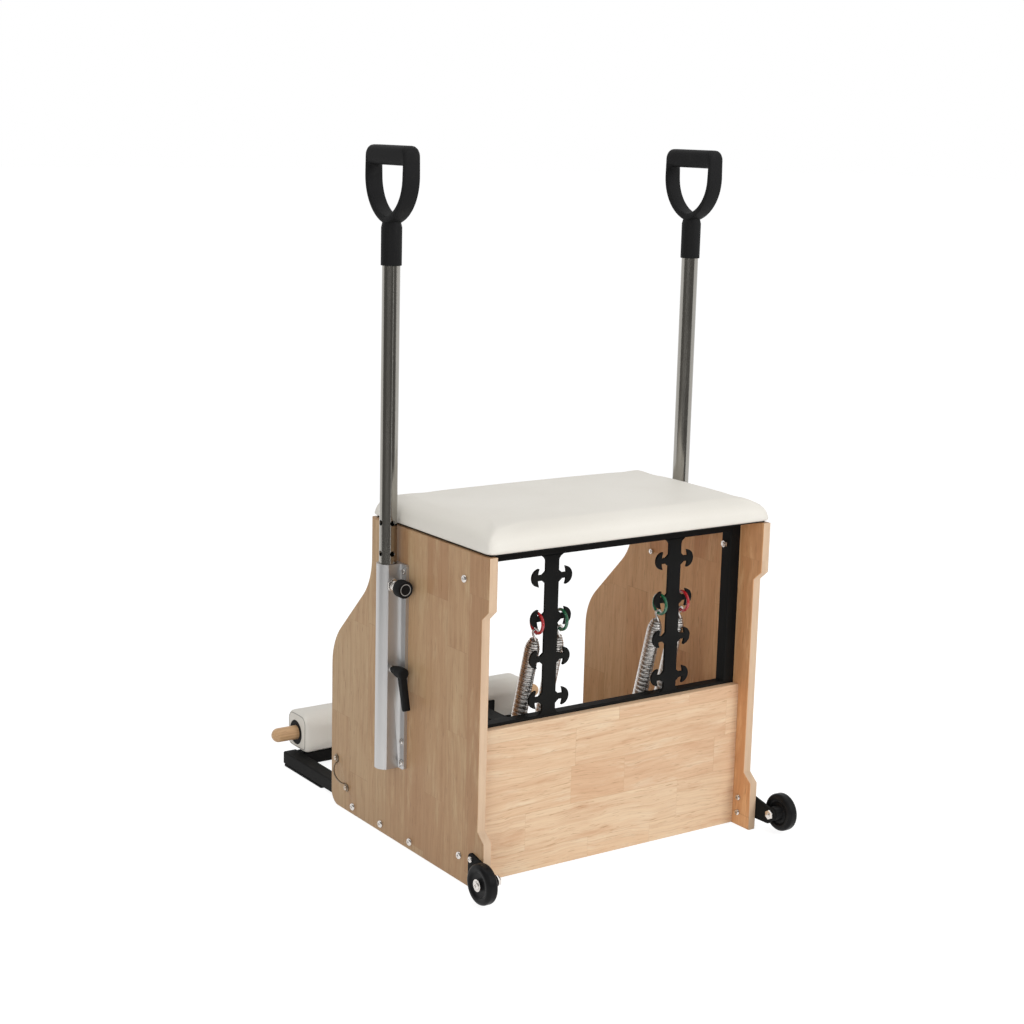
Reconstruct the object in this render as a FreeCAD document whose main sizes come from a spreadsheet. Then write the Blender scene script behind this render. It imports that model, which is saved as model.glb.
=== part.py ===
"""Pilates chair with two spring-loaded pedals, sliding poles and transport wheels.

Millimetres, +Z up. The chair stands on the floor at Z = 0 and its user sits facing -Y, so the
pedals are at -Y, the rear panel at +Y, and the user's left hand is at +X. The origin is on the
floor, in the middle of the chair's length and width. Depths are measured forward from the rear
edge of the side panels.
"""
import FreeCAD
import Part
import Sketcher
import math
import os
from types import SimpleNamespace

SIZES = {
    # Wooden side panels with an S-shaped front edge and a recessed rear edge
    "overall_width": 626.0,
    "panel_thickness": 18.0,
    "panel_height": 600.0,
    "panel_top_depth": 392.0,
    "panel_foot_depth": 540.0,
    "panel_bend_height": 522.0,
    "panel_bend_radius": 110.0,
    "panel_toe_radius": 26.0,
    "panel_edge_radius": 2.5,
    "recess_depth": 20.0,
    "recess_bottom": 93.0,
    "recess_top": 506.0,
    "recess_slope": 17.0,
    # Rear panel, which closes the lower half between the side panels
    "rear_panel_inset": 47.0,
    "rear_panel_thickness": 15.0,
    "rear_panel_height": 279.0,
    "rear_panel_lift": 2.0,
    "panel_gap": 0.3,
    # Steel tubes of the upright frame and of the base
    "frame_tube": 25.0,
    "frame_wall": 2.0,
    "low_rail_top": 284.0,
    "base_tube_width": 30.0,
    "base_tube_height": 26.0,
    "base_front_depth": 773.0,
    "floor_pad_thickness": 4.0,
    "floor_pad_length": 158.0,
    "tube_radius": 3.0,
    "plug_thickness": 2.5,
    # Padded seat on its board
    "board_thickness": 12.0,
    "board_margin": 24.0,
    "cushion_lift": 3.0,
    "cushion_side_height": 40.0,
    "cushion_crown": 6.0,
    "cushion_overhang": 5.0,
    "cushion_corner_radius": 34.0,
    "cushion_edge_radius": 21.0,
    "cushion_hem_radius": 5.0,
    "cushion_draw_in": 2.0,
    "soft_gap": 0.3,
    # Spring trees with crescent hooks
    "tree_spacing": 276.0,
    "tree_thickness": 5.0,
    "tree_stem_width": 28.0,
    "tree_foot_radius": 9.0,
    "hook_lowest": 314.0,
    "hook_pitch": 74.0,
    "hook_bump_reach": 7.0,
    "hook_bump_height": 22.0,
    "hook_neck_reach": 17.0,
    "hook_neck_height": 10.0,
    "hook_horn_reach": 14.0,
    "hook_horn_height": 33.0,
    "hook_reach": 29.0,
    # Springs and the coloured rings that hang them on the hooks
    "ring_wire": 6.0,
    "ring_diameter": 42.0,
    "spring_wire": 3.6,
    "spring_diameter": 28.0,
    "spring_tip_diameter": 13.0,
    "spring_lead": 38.0,
    "spring_cone": 30.0,
    "spring_neck": 13.0,
    "hang_gap": 0.3,
    # Aluminium sleeves, poles and grips
    "pole_depth": 295.0,
    "pole_standoff": 22.5,
    "pole_diameter": 32.0,
    "pole_wall": 2.0,
    "pole_bottom": 160.0,
    "pole_length": 976.0,
    "pole_fit": 0.3,
    "index_height": 497.6,
    "index_pitch": 56.0,
    "index_hole": 10.0,
    "sleeve_bottom": 151.0,
    "sleeve_length": 384.0,
    "sleeve_dome_radius": 20.5,
    "sleeve_flat": 18.5,
    "flange_thickness": 6.0,
    "flange_half_width": 37.0,
    "flange_screw_offset": 29.0,
    "flange_screw_inset": 13.0,
    "flange_screw_pitch": 40.0,
    "flange_corner": 5.0,
    "grip_socket_bottom": 1066.0,
    "grip_socket_diameter": 37.0,
    "grip_socket_depth": 70.0,
    "grip_top": 1272.0,
    "grip_width": 134.0,
    "grip_bar_size": 34.0,
    "grip_bar_radius": 13.0,
    "grip_strap_width": 32.0,
    "grip_strap_thickness": 8.0,
    "grip_strap_edge": 3.0,
    "grip_outer_bend": 85.0,
    "grip_outer_tip": 8.0,
    "grip_inner_bend": 70.0,
    "grip_inner_tip": 5.0,
    "grip_bend_height": 1220.0,
    # Plunger that locks the pole, and clamp lever that takes up its play
    "pin_diameter": 9.4,
    "pin_fit": 0.1,
    "pin_parked_gap": 0.5,
    "plunger_thread": 16.0,
    "plunger_hex": 23.0,
    "plunger_hex_thickness": 6.0,
    "plunger_neck": 19.0,
    "plunger_neck_length": 18.0,
    "knob_diameter": 32.0,
    "knob_length": 24.0,
    "knob_cavity_depth": 14.0,
    "knob_cavity_fit": 0.6,
    "knob_park_gap": 15.0,
    "lever_height": 342.0,
    "lever_stud": 8.0,
    "lever_stud_fit": 0.1,
    "lever_gap": 0.3,
    "lever_neck_length": 24.0,
    "lever_hub_length": 20.0,
    "lever_base_diameter": 11.0,
    "lever_hub_diameter": 21.0,
    "lever_arm_length": 68.0,
    "lever_arm_rise": 17.0,
    "lever_arm_width": 12.0,
    "lever_arm_depth": 10.0,
    # Wheels behind the rear edge
    "plate_thickness": 5.0,
    "plate_front": 40.0,
    "plate_bottom": 20.0,
    "plate_top": 70.0,
    "plate_corner": 9.0,
    "plate_screw_depth": 31.0,
    "plate_screw_low": 27.0,
    "plate_screw_high": 57.0,
    "axle_reach": 41.0,
    "axle_height": 42.0,
    "axle_diameter": 8.0,
    "axle_fit": 0.2,
    "wheel_diameter": 72.0,
    "wheel_width": 22.0,
    "wheel_hub_width": 11.0,
    "wheel_hub_diameter": 26.0,
    "wheel_tread_radius": 7.0,
    "wheel_dish": 4.0,
    "wheel_gap": 0.5,
    # Pivot shaft and pedals, which rest on rubber stops over the front tube
    "pivot_depth": 110.0,
    "pivot_height": 60.0,
    "shaft_diameter": 20.0,
    "shaft_fit": 0.1,
    "bracket_thickness": 8.0,
    "bracket_length": 72.0,
    "bracket_height": 54.0,
    "hub_diameter": 34.0,
    "hub_length": 120.0,
    "collar_diameter": 31.0,
    "collar_width": 10.0,
    "collar_gap": 0.3,
    "arm_width": 40.0,
    "arm_height": 30.0,
    "arm_wall": 2.5,
    "spring_bar_depth": 160.0,
    "spring_bar_height": 104.0,
    "spring_bar_diameter": 14.0,
    "spring_bar_length": 92.0,
    "lug_thickness": 6.0,
    "lug_width": 26.0,
    "pad_plate_thickness": 5.0,
    "pad_plate_width": 92.0,
    "pad_plate_bottom": 40.0,
    "pad_plate_height": 44.0,
    "pad_depth": 757.0,
    "pad_width": 85.0,
    "pad_height": 85.0,
    "pad_shoulder_radius": 27.0,
    "pad_hem_radius": 6.0,
    "pad_end_radius": 4.0,
    "pad_crown": 5.0,
    "pad_length": 272.0,
    "pad_middle_gap": 12.0,
    "stop_height": 4.0,
    "stop_diameter": 24.0,
    "core_width": 52.0,
    "core_height": 50.0,
    "dowel_height": 74.0,
    "dowel_diameter": 29.0,
    "dowel_fit": 0.3,
    "dowel_reach": 331.0,
    "bush_diameter": 52.0,
    "bush_depth": 8.0,
    "bush_recess": 2.0,
    # Bolts, screws and the wire loops for bands
    "bolt_diameter": 8.0,
    "bolt_head": 14.0,
    "bolt_head_height": 4.5,
    "bolt_nut": 13.0,
    "bolt_nut_height": 6.5,
    "screw_diameter": 6.0,
    "screw_head": 11.0,
    "screw_head_height": 3.5,
    "screw_nut": 10.0,
    "screw_nut_height": 5.0,
    "thread_fit": 0.2,
    "post_bolt_high": 550.0,
    "post_bolt_low": 49.0,
    "rail_bolt_depth": 242.0,
    "rail_bolt_pitch": 105.5,
    "loop_upper_depth": 517.0,
    "loop_upper_height": 97.0,
    "loop_lower_depth": 477.0,
    "loop_lower_height": 48.0,
    "loop_wire": 3.0,
    "loop_eye": 15.0,
    "loop_standoff": 15.0,
    "loop_screw": 4.5,
    "loop_screw_head": 9.0,
    "loop_screw_length": 14.0,
}

HOOK_LEVELS = 4
HUNG_LEVEL = 2
INDEX_ROWS_BELOW = 3
INDEX_ROWS_ABOVE = 2
RAIL_BOLTS = 3
HALF_ROOT = math.sqrt(0.5)
SIDES = {"left": 1, "right": -1}

doc = FreeCAD.newDocument("PilatesChair")
sheet = doc.addObject("Spreadsheet::Sheet", "Sizes")
for row, (name, number) in enumerate(SIZES.items(), start=1):
    sheet.set("A%d" % row, name)
    sheet.set("B%d" % row, str(number))
    sheet.setAlias("B%d" % row, name)
doc.recompute()


class Size:
    """A length that keeps the spreadsheet expression it comes from beside its value."""

    def __init__(self, text, value):
        self.text = text
        self.value = value

    def join(self, other, sign, swap=False):
        other = other if isinstance(other, Size) else Size("(%r)" % other, other)
        first, second = (other, self) if swap else (self, other)
        text = "(%s %s %s)" % (first.text, sign, second.text)
        results = {
            "+": lambda: first.value + second.value,
            "-": lambda: first.value - second.value,
            "*": lambda: first.value * second.value,
            "/": lambda: first.value / second.value,
        }
        return Size(text, results[sign]())

    def __add__(self, other):
        return self.join(other, "+")

    def __radd__(self, other):
        return self.join(other, "+", swap=True)

    def __sub__(self, other):
        return self.join(other, "-")

    def __rsub__(self, other):
        return self.join(other, "-", swap=True)

    def __mul__(self, other):
        return self.join(other, "*")

    def __rmul__(self, other):
        return self.join(other, "*", swap=True)

    def __truediv__(self, other):
        return self.join(other, "/")

    def __neg__(self):
        return self.join(-1.0, "*")

    def root(self):
        return Size("sqrt(%s)" % self.text, math.sqrt(self.value))


ZERO = Size("0", 0.0)
size = SimpleNamespace(**{name: Size("Sizes." + name, number) for name, number in SIZES.items()})
sub_parts = []

# Places that several pieces share
half_width = size.overall_width / 2
inner_face = half_width - size.panel_thickness
rear_edge = (size.pad_depth + size.pad_width / 2 - size.axle_reach - size.wheel_diameter / 2) / 2
frame_rear = size.rear_panel_inset + size.rear_panel_thickness
base_bottom = size.floor_pad_thickness
base_top = base_bottom + size.base_tube_height
pole_offset = half_width + size.pole_standoff
pad_bottom = base_top + size.stop_height


def at_depth(depth):
    """Y of a depth measured forward from the side panels' rear edge."""
    return rear_edge - depth


def put(piece, x=ZERO, y=ZERO, z=ZERO):
    """Tie a piece's place to the spreadsheet."""
    for axis, place in (("x", x), ("y", y), ("z", z)):
        piece.setExpression("Placement.Base." + axis, place.text)
    return piece


def turn(piece, axis, degrees):
    """Turn a piece about its own origin."""
    piece.Placement = FreeCAD.Placement(piece.Placement.Base, FreeCAD.Rotation(axis, degrees))
    return piece


def keep(piece, label):
    """Name a finished sub-part and list it for writing."""
    piece.Label = label
    sub_parts.append(piece)
    return piece


# Bodies, sketches and features
def new_body(label):
    return doc.addObject("PartDesign::Body", label + "_body")


def new_sketch(body, plane, offset=None):
    """A sketch on one of the body's own origin planes, shifted along that plane's normal."""
    sketch = body.newObject("Sketcher::SketchObject", "profile")
    support = [item for item in body.Origin.OriginFeatures if item.Role == plane][0]
    sketch.AttachmentSupport = [(support, "")]
    sketch.MapMode = "FlatFace"
    if offset is not None:
        sketch.setExpression("AttachmentOffset.Base.z", offset.text)
    return sketch


def pin_point(sketch, geometry, point, x, y):
    """Hold one point of a sketch at a place given by the spreadsheet."""
    for kind, place in (("DistanceX", x), ("DistanceY", y)):
        index = sketch.addConstraint(Sketcher.Constraint(kind, -1, 1, geometry, point, place.value))
        sketch.setExpression("Constraints[%d]" % index, place.text)


def pin_radius(sketch, geometry, radius):
    index = sketch.addConstraint(Sketcher.Constraint("Radius", geometry, radius.value))
    sketch.setExpression("Constraints[%d]" % index, radius.text)


def outline(sketch, corners):
    """Closed loop through the corners, each (x, y) or (x, y, bend, radius).

    A bend of +1 or -1 makes the stretch to the next corner an arc of under half a circle that
    turns left or right.
    """
    ends = []
    for number, corner in enumerate(corners):
        follower = corners[(number + 1) % len(corners)]
        start = FreeCAD.Vector(corner[0].value, corner[1].value, 0)
        stop = FreeCAD.Vector(follower[0].value, follower[1].value, 0)
        if len(corner) == 2:
            geometry = sketch.addGeometry(Part.LineSegment(start, stop), False)
            ends.append((geometry, 1, 2))
            continue
        bend, radius = corner[2], corner[3]
        chord = stop - start
        left = FreeCAD.Vector(-chord.y, chord.x, 0).normalize()
        rise = math.sqrt(max(radius.value ** 2 - chord.Length ** 2 / 4, 0.0))
        centre = (start + stop) / 2 + left * rise * bend
        first, last = (start, stop) if bend > 0 else (stop, start)
        angles = [math.atan2(point.y - centre.y, point.x - centre.x) for point in (first, last)]
        circle = Part.Circle(centre, FreeCAD.Vector(0, 0, 1), radius.value)
        geometry = sketch.addGeometry(Part.ArcOfCircle(circle, angles[0], angles[1]), False)
        ends.append((geometry, 1, 2) if bend > 0 else (geometry, 2, 1))
    for number, (geometry, start, stop) in enumerate(ends):
        following = ends[(number + 1) % len(ends)]
        sketch.addConstraint(Sketcher.Constraint("Coincident", geometry, stop, following[0], following[1]))
        pin_point(sketch, geometry, start, corners[number][0], corners[number][1])
        if len(corners[number]) == 4:
            pin_radius(sketch, geometry, corners[number][3])


def circle(sketch, x, y, radius):
    shape = Part.Circle(FreeCAD.Vector(x.value, y.value, 0), FreeCAD.Vector(0, 0, 1), radius.value)
    geometry = sketch.addGeometry(shape, False)
    pin_point(sketch, geometry, 3, x, y)
    pin_radius(sketch, geometry, radius)


def rounded_box(sketch, low, high, radius):
    """Rectangle from the low corner to the high corner, with rounded corners."""
    (x0, y0), (x1, y1) = low, high
    outline(sketch, [
        (x0 + radius, y0), (x1 - radius, y0, 1, radius),
        (x1, y0 + radius), (x1, y1 - radius, 1, radius),
        (x1 - radius, y1), (x0 + radius, y1, 1, radius),
        (x0, y1 - radius), (x0, y0 + radius, 1, radius),
    ])


def plain_box(sketch, low, high):
    outline(sketch, [(low[0], low[1]), (high[0], low[1]), (high[0], high[1]), (low[0], high[1])])


def feature(body, kind, sketch, length=None, both_ways=False, backward=False):
    """Pad or Pocket of a sketch; a length of None goes through everything."""
    made = body.newObject("PartDesign::" + kind, kind)
    made.Profile = sketch
    made.Reversed = backward
    made.Midplane = both_ways
    if length is None:
        made.Type = "ThroughAll"
    else:
        made.setExpression("Length", length.text)
    doc.recompute()
    return made


def spun(body, kind, sketch, axis="V_Axis"):
    """Revolution or Groove of a sketch through a full turn about one of its own axes."""
    made = body.newObject("PartDesign::" + kind, kind)
    made.Profile = sketch
    made.ReferenceAxis = (sketch, [axis])
    made.Angle = 360
    doc.recompute()
    return made


def rounded(body, base, radius, chosen):
    """Fillet the edges of a feature that the test chooses."""
    names = ["Edge%d" % (place + 1) for place, edge in enumerate(base.Shape.Edges) if chosen(edge)]
    made = body.newObject("PartDesign::Fillet", "Fillet")
    made.Base = (base, names)
    made.setExpression("Radius", radius.text)
    doc.recompute()
    return made


# Plain solids tied to the spreadsheet
def box(length, width, height, x=ZERO, y=ZERO, z=ZERO):
    made = doc.addObject("Part::Box", "block")
    for name, amount in (("Length", length), ("Width", width), ("Height", height)):
        made.setExpression(name, amount.text)
    return put(made, x, y, z)


def rod(radius, length, x=ZERO, y=ZERO, z=ZERO, along="Z"):
    """Cylinder that starts at the given point and runs along +X, +Y or +Z."""
    made = doc.addObject("Part::Cylinder", "rod")
    made.setExpression("Radius", radius.text)
    made.setExpression("Height", length.text)
    turns = {"X": (FreeCAD.Vector(0, 1, 0), 90), "Y": (FreeCAD.Vector(1, 0, 0), -90), "Z": None}
    if turns[along] is not None:
        turn(made, *turns[along])
    return put(made, x, y, z)


def joined(pieces):
    made = doc.addObject("Part::MultiFuse", "joined")
    made.Shapes = pieces
    return made


def cut(base, tools):
    made = doc.addObject("Part::Cut", "cut")
    made.Base = base
    made.Tool = tools[0] if len(tools) == 1 else joined(tools)
    return made


def solid_group(label, shapes):
    """Several like solids kept as one sub-part."""
    made = doc.addObject("Part::Feature", label)
    made.Shape = Part.makeCompound(shapes)
    return keep(made, label)


def vector(x, y, z):
    """Point from sizes or numbers."""
    return FreeCAD.Vector(*[part.value if isinstance(part, Size) else part for part in (x, y, z)])


# Side panels: profile padded through the thickness, edges rounded, then drilled
def bolt_places():
    """Depth and height of the bolts that hold a side panel to the post and the base rail."""
    post_middle = frame_rear + size.frame_tube / 2
    rail_middle = base_bottom + size.base_tube_height / 2
    places = [(post_middle, size.post_bolt_high), (post_middle, size.post_bolt_low)]
    for number in range(RAIL_BOLTS):
        places.append((size.rail_bolt_depth + number * size.rail_bolt_pitch, rail_middle))
    return places


def flange_screw_places():
    """Depth and height of the screws through both flanges of a pole sleeve."""
    low = size.sleeve_bottom + size.flange_screw_inset
    high = size.sleeve_bottom + size.sleeve_length - size.flange_screw_inset
    heights = [low, low + size.flange_screw_pitch, high - size.flange_screw_pitch, high]
    depths = [size.pole_depth - size.flange_screw_offset, size.pole_depth + size.flange_screw_offset]
    return [(depth, height) for depth in depths for height in heights]


def plate_screw_places():
    return [(size.plate_screw_depth, size.plate_screw_low), (size.plate_screw_depth, size.plate_screw_high)]


def loop_places():
    return [(size.loop_upper_depth, size.loop_upper_height), (size.loop_lower_depth, size.loop_lower_height)]


def side_panel(side):
    body = new_body("side_panel_" + side)
    top_front = at_depth(size.panel_top_depth)
    foot_front = at_depth(size.panel_foot_depth)
    bend = size.panel_bend_radius
    bend_side = bend * (1 - HALF_ROOT)
    bend_drop = bend * HALF_ROOT
    slope_drop = size.panel_foot_depth - size.panel_top_depth - 2 * bend_side
    upper_end = size.panel_bend_height - bend_drop
    lower_start = upper_end - slope_drop
    profile = new_sketch(body, "YZ_Plane")
    outline(profile, [
        (rear_edge, ZERO),
        (rear_edge, size.recess_bottom),
        (rear_edge - size.recess_depth, size.recess_bottom + size.recess_slope),
        (rear_edge - size.recess_depth, size.recess_top - size.recess_slope),
        (rear_edge, size.recess_top),
        (rear_edge, size.panel_height),
        (top_front, size.panel_height),
        (top_front, size.panel_bend_height, -1, bend),
        (top_front - bend_side, upper_end),
        (foot_front + bend_side, lower_start, 1, bend),
        (foot_front, lower_start - bend_drop),
        (foot_front, size.panel_toe_radius, 1, size.panel_toe_radius),
        (foot_front + size.panel_toe_radius, ZERO),
    ])
    board = feature(body, "Pad", profile, size.panel_thickness)
    thickness = size.panel_thickness.value
    rounded(body, board, size.panel_edge_radius, lambda edge: edge.BoundBox.XLength < thickness / 2)
    drilled = new_sketch(body, "YZ_Plane")
    for depth, height in bolt_places():
        circle(drilled, at_depth(depth), height, size.bolt_diameter / 2 + size.thread_fit)
    for depth, height in flange_screw_places() + plate_screw_places():
        circle(drilled, at_depth(depth), height, size.screw_diameter / 2 + size.thread_fit)
    feature(body, "Pocket", drilled, size.panel_thickness, backward=True)
    outside = size.panel_thickness if SIDES[side] > 0 else ZERO
    pilot = new_sketch(body, "YZ_Plane", offset=outside)
    for depth, height in loop_places():
        circle(pilot, at_depth(depth), height, size.loop_screw / 2 + size.thread_fit)
    feature(body, "Pocket", pilot, size.loop_screw_length, backward=SIDES[side] < 0)
    put(body, x=inner_face if SIDES[side] > 0 else -half_width)
    keep(body, "side_panel_" + side)


for side in SIDES:
    side_panel(side)

# Rear panel between the side panels, rounded along its top edges
rear_panel = new_body("rear_panel")
face = new_sketch(rear_panel, "YZ_Plane")
rear_outer = at_depth(size.rear_panel_inset)
rear_inner = at_depth(frame_rear)
outline(face, [
    (rear_inner, size.rear_panel_lift),
    (rear_outer, size.rear_panel_lift),
    (rear_outer, size.rear_panel_height - size.panel_edge_radius, 1, size.panel_edge_radius),
    (rear_outer - size.panel_edge_radius, size.rear_panel_height),
    (rear_inner, size.rear_panel_height),
])
feature(rear_panel, "Pad", face, 2 * (inner_face - size.panel_gap), both_ways=True)
keep(rear_panel, "rear_panel")


# Steel frame: square tubes with rounded corners, hollow right through
def square_tube(label, plane, low, high, start, length, wall):
    """Tube whose section is drawn between two corners of a plane and runs along its normal."""
    body = new_body(label)
    section = new_sketch(body, plane, offset=start)
    rounded_box(section, low, high, size.tube_radius)
    inner_low = (low[0] + wall, low[1] + wall)
    inner_high = (high[0] - wall, high[1] - wall)
    rounded_box(section, inner_low, inner_high, size.tube_radius - wall)
    feature(body, "Pad", section, length)
    return body


def drilled_tube(label, plane, low, high, start, length, wall, holes):
    """Tube with bolt holes drilled along X at the given depths and heights."""
    body = square_tube(label, plane, low, high, start, length, wall)
    bores = new_sketch(body, "YZ_Plane")
    for depth, height in holes:
        circle(bores, at_depth(depth), height, size.bolt_diameter / 2 + size.thread_fit)
    feature(body, "Pocket", bores, None, both_ways=True)
    return keep(body, label)


post_front = at_depth(frame_rear + size.frame_tube)
post_rear = at_depth(frame_rear)
for side, sign in SIDES.items():
    low_x = inner_face - size.frame_tube if sign > 0 else -inner_face
    drilled_tube("post_" + side, "XY_Plane", (low_x, post_front), (low_x + size.frame_tube, post_rear),
                 base_top, size.panel_height - base_top, size.frame_wall, bolt_places()[:2])
    low_x = inner_face - size.base_tube_width if sign > 0 else -inner_face
    drilled_tube("base_rail_" + side, "XZ_Plane", (low_x, base_bottom),
                 (low_x + size.base_tube_width, base_top), -at_depth(frame_rear),
                 size.base_front_depth - frame_rear, size.frame_wall, bolt_places()[2:])

rail_span = inner_face - size.frame_tube
for label, top in (("top_rail", size.panel_height), ("low_rail", size.low_rail_top)):
    rail = square_tube(label, "YZ_Plane", (post_front, top - size.frame_tube), (post_rear, top),
                       -rail_span, 2 * rail_span, size.frame_wall)
    keep(rail, label)

crossbar_span = inner_face - size.base_tube_width
crossbar_front = at_depth(size.base_front_depth)
crossbar = square_tube("front_crossbar", "YZ_Plane", (crossbar_front, base_bottom),
                       (crossbar_front + size.base_tube_width, base_top),
                       -crossbar_span, 2 * crossbar_span, size.frame_wall)
keep(crossbar, "front_crossbar")


def both_sides(make):
    """Shapes that a function makes for the left side (+1) and the right side (-1)."""
    return [make(sign) for sign in SIDES.values()]


def plug(sign):
    """Plastic plug that closes the front end of a base rail: cover plate and square spigot."""
    middle = sign * (inner_face - size.base_tube_width / 2)
    plate = Part.makeBox(size.base_tube_width.value, size.plug_thickness.value, size.base_tube_height.value)
    plate = plate.makeFillet(size.tube_radius.value, [edge for edge in plate.Edges if edge.BoundBox.YLength > 1])
    corner = vector(middle - size.base_tube_width / 2, crossbar_front - size.plug_thickness, base_bottom)
    plate.translate(corner)
    inset = size.frame_wall + size.thread_fit
    width = size.base_tube_width - 2 * inset
    height = size.base_tube_height - 2 * inset
    spigot = Part.makeBox(width.value, 3 * size.plug_thickness.value, height.value)
    spigot = spigot.makeFillet(size.tube_radius.value / 2, [e for e in spigot.Edges if e.BoundBox.YLength > 1])
    spigot.translate(vector(middle - width / 2, crossbar_front, base_bottom + inset))
    return plate.fuse(spigot).removeSplitter()


def floor_pad(sign):
    """Rubber strip under the front of a base rail."""
    middle = sign * (inner_face - size.base_tube_width / 2)
    pad = Part.makeBox(size.base_tube_width.value, size.floor_pad_length.value, size.floor_pad_thickness.value)
    pad = pad.makeFillet(size.tube_radius.value, [edge for edge in pad.Edges if edge.BoundBox.ZLength > 1])
    pad.translate(vector(middle - size.base_tube_width / 2, crossbar_front, ZERO))
    return pad


solid_group("tube_plugs", both_sides(plug))
solid_group("floor_pads", both_sides(floor_pad))

# Seat: plywood board, and a crowned cushion whose cover wraps over the board's edges
seat_rear = rear_edge + size.cushion_overhang
seat_depth = size.panel_top_depth + 2 * size.cushion_overhang
seat_half = half_width + size.cushion_overhang
board_half = seat_half - size.board_margin
board_depth = seat_depth - 2 * size.board_margin
seat_board = box(2 * board_half, board_depth, size.board_thickness,
                 -board_half, seat_rear - size.board_margin - board_depth, size.panel_height)
keep(seat_board, "seat_board")

cushion = new_body("seat_cushion")
hem = size.panel_height + size.cushion_lift
shoulder = hem + size.cushion_side_height
front_view = new_sketch(cushion, "XZ_Plane")


def arc_radius(half_chord, rise):
    """Radius of the arc that rises this far over this half chord."""
    return (half_chord * half_chord + rise * rise) / (2 * rise)


waist = arc_radius(size.cushion_side_height / 2, size.cushion_draw_in)
outline(front_view, [
    (-seat_half, hem),
    (seat_half, hem, -1, waist),
    (seat_half, shoulder, 1, arc_radius(seat_half, size.cushion_crown)),
    (-seat_half, shoulder, -1, waist),
])
blank = feature(cushion, "Pad", front_view, seat_depth)
blank = rounded(cushion, blank, size.cushion_corner_radius,
                lambda edge: edge.BoundBox.ZLength > size.cushion_side_height.value / 2)
hem_edges = rounded(cushion, blank, size.cushion_edge_radius,
                    lambda edge: edge.BoundBox.ZMin > shoulder.value - 1)
rounded(cushion, hem_edges, size.cushion_hem_radius, lambda edge: edge.BoundBox.ZMax < hem.value + 0.1)
recess = new_sketch(cushion, "XY_Plane", offset=hem)
room = board_half + size.soft_gap
plain_box(recess, (-room, -size.board_margin - board_depth - size.soft_gap),
          (room, size.soft_gap - size.board_margin))
feature(cushion, "Pocket", recess, size.board_thickness - size.cushion_lift + size.soft_gap, backward=True)
put(cushion, y=seat_rear)
keep(cushion, "seat_cushion")

# Spring trees: cut from plate, flared at both rails, with four pairs of crescent hooks
tree_middle = size.tree_spacing / 2


def hook_outline(sketch, hand):
    """One crescent hook on the right (+1) or left (-1) edge of the stem."""
    edge = size.tree_stem_width / 2
    bump = size.hook_bump_height / 2
    neck = size.hook_neck_height / 2
    horn = size.hook_horn_height / 2
    level = size.hook_lowest
    hollow = arc_radius(horn, size.hook_neck_reach - size.hook_horn_reach)
    crescent = arc_radius(horn, size.hook_reach - size.hook_horn_reach)
    neck_end = size.hook_neck_reach - neck * neck / (2 * hollow)
    points = [
        (edge - size.hook_bump_reach, level - bump),
        (edge, level - bump),
        (edge + size.hook_bump_reach, level - neck),
        (edge + neck_end, level - neck, -1, hollow),
        (edge + size.hook_horn_reach, level - horn, 1, crescent),
        (edge + size.hook_horn_reach, level + horn, -1, hollow),
        (edge + neck_end, level + neck),
        (edge + size.hook_bump_reach, level + neck),
        (edge, level + bump),
        (edge - size.hook_bump_reach, level + bump),
    ]
    if hand < 0:
        mirrored = []
        for number, (x, z, *arc) in enumerate(points):
            before = points[number - 1]
            mirrored.append((-x, z, *before[2:]))
        points = mirrored[::-1]
    outline(sketch, points)


def spring_tree(side):
    body = new_body("spring_tree_" + side)
    stem = size.tree_stem_width / 2
    flare = size.tree_foot_radius
    sweep = 1.5 * flare
    bottom = size.low_rail_top
    top = size.panel_height - size.frame_tube
    plate = new_sketch(body, "XZ_Plane")
    outline(plate, [
        (-stem - flare, bottom),
        (stem + flare, bottom, -1, sweep),
        (stem, bottom + flare),
        (stem, top - flare, -1, sweep),
        (stem + flare, top),
        (-stem - flare, top, -1, sweep),
        (-stem, top - flare),
        (-stem, bottom + flare, -1, sweep),
    ])
    feature(body, "Pad", plate, size.tree_thickness)
    hooks = new_sketch(body, "XZ_Plane")
    hook_outline(hooks, 1)
    hook_outline(hooks, -1)
    first = feature(body, "Pad", hooks, size.tree_thickness)
    row = body.newObject("PartDesign::LinearPattern", "hook_row")
    row.Originals = [first]
    row.Direction = (plate, ["V_Axis"])
    row.Occurrences = HOOK_LEVELS
    row.setExpression("Length", ((HOOK_LEVELS - 1) * size.hook_pitch).text)
    body.Tip = row
    put(body, x=SIDES[side] * tree_middle, y=at_depth(frame_rear))
    keep(body, "spring_tree_" + side)


for side in SIDES:
    spring_tree(side)

# Coloured rings: one pair on the outer hooks and one on the inner hooks
hook_seat = (size.hook_bump_reach + size.hook_neck_reach) / 2
hang_offset = size.tree_stem_width / 2 + hook_seat
hang_y = at_depth(frame_rear + size.tree_thickness / 2)
hung_level = size.hook_lowest + HUNG_LEVEL * size.hook_pitch
ring_inside = size.ring_diameter / 2 - size.ring_wire
ring_height = hung_level + size.hook_neck_height / 2 + size.hang_gap - ring_inside
for row_name, outward in (("outer", 1), ("inner", -1)):
    pair = []
    for sign in SIDES.values():
        ring = doc.addObject("Part::Torus", "ring")
        ring.setExpression("Radius1", ((size.ring_diameter - size.ring_wire) / 2).text)
        ring.setExpression("Radius2", (size.ring_wire / 2).text)
        turn(ring, FreeCAD.Vector(0, 1, 0), 90)
        put(ring, sign * (tree_middle + outward * hang_offset), hang_y, ring_height)
        pair.append(ring)
    rings = doc.addObject("Part::Compound", "rings")
    rings.Links = pair
    keep(rings, "spring_rings_" + row_name)


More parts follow.
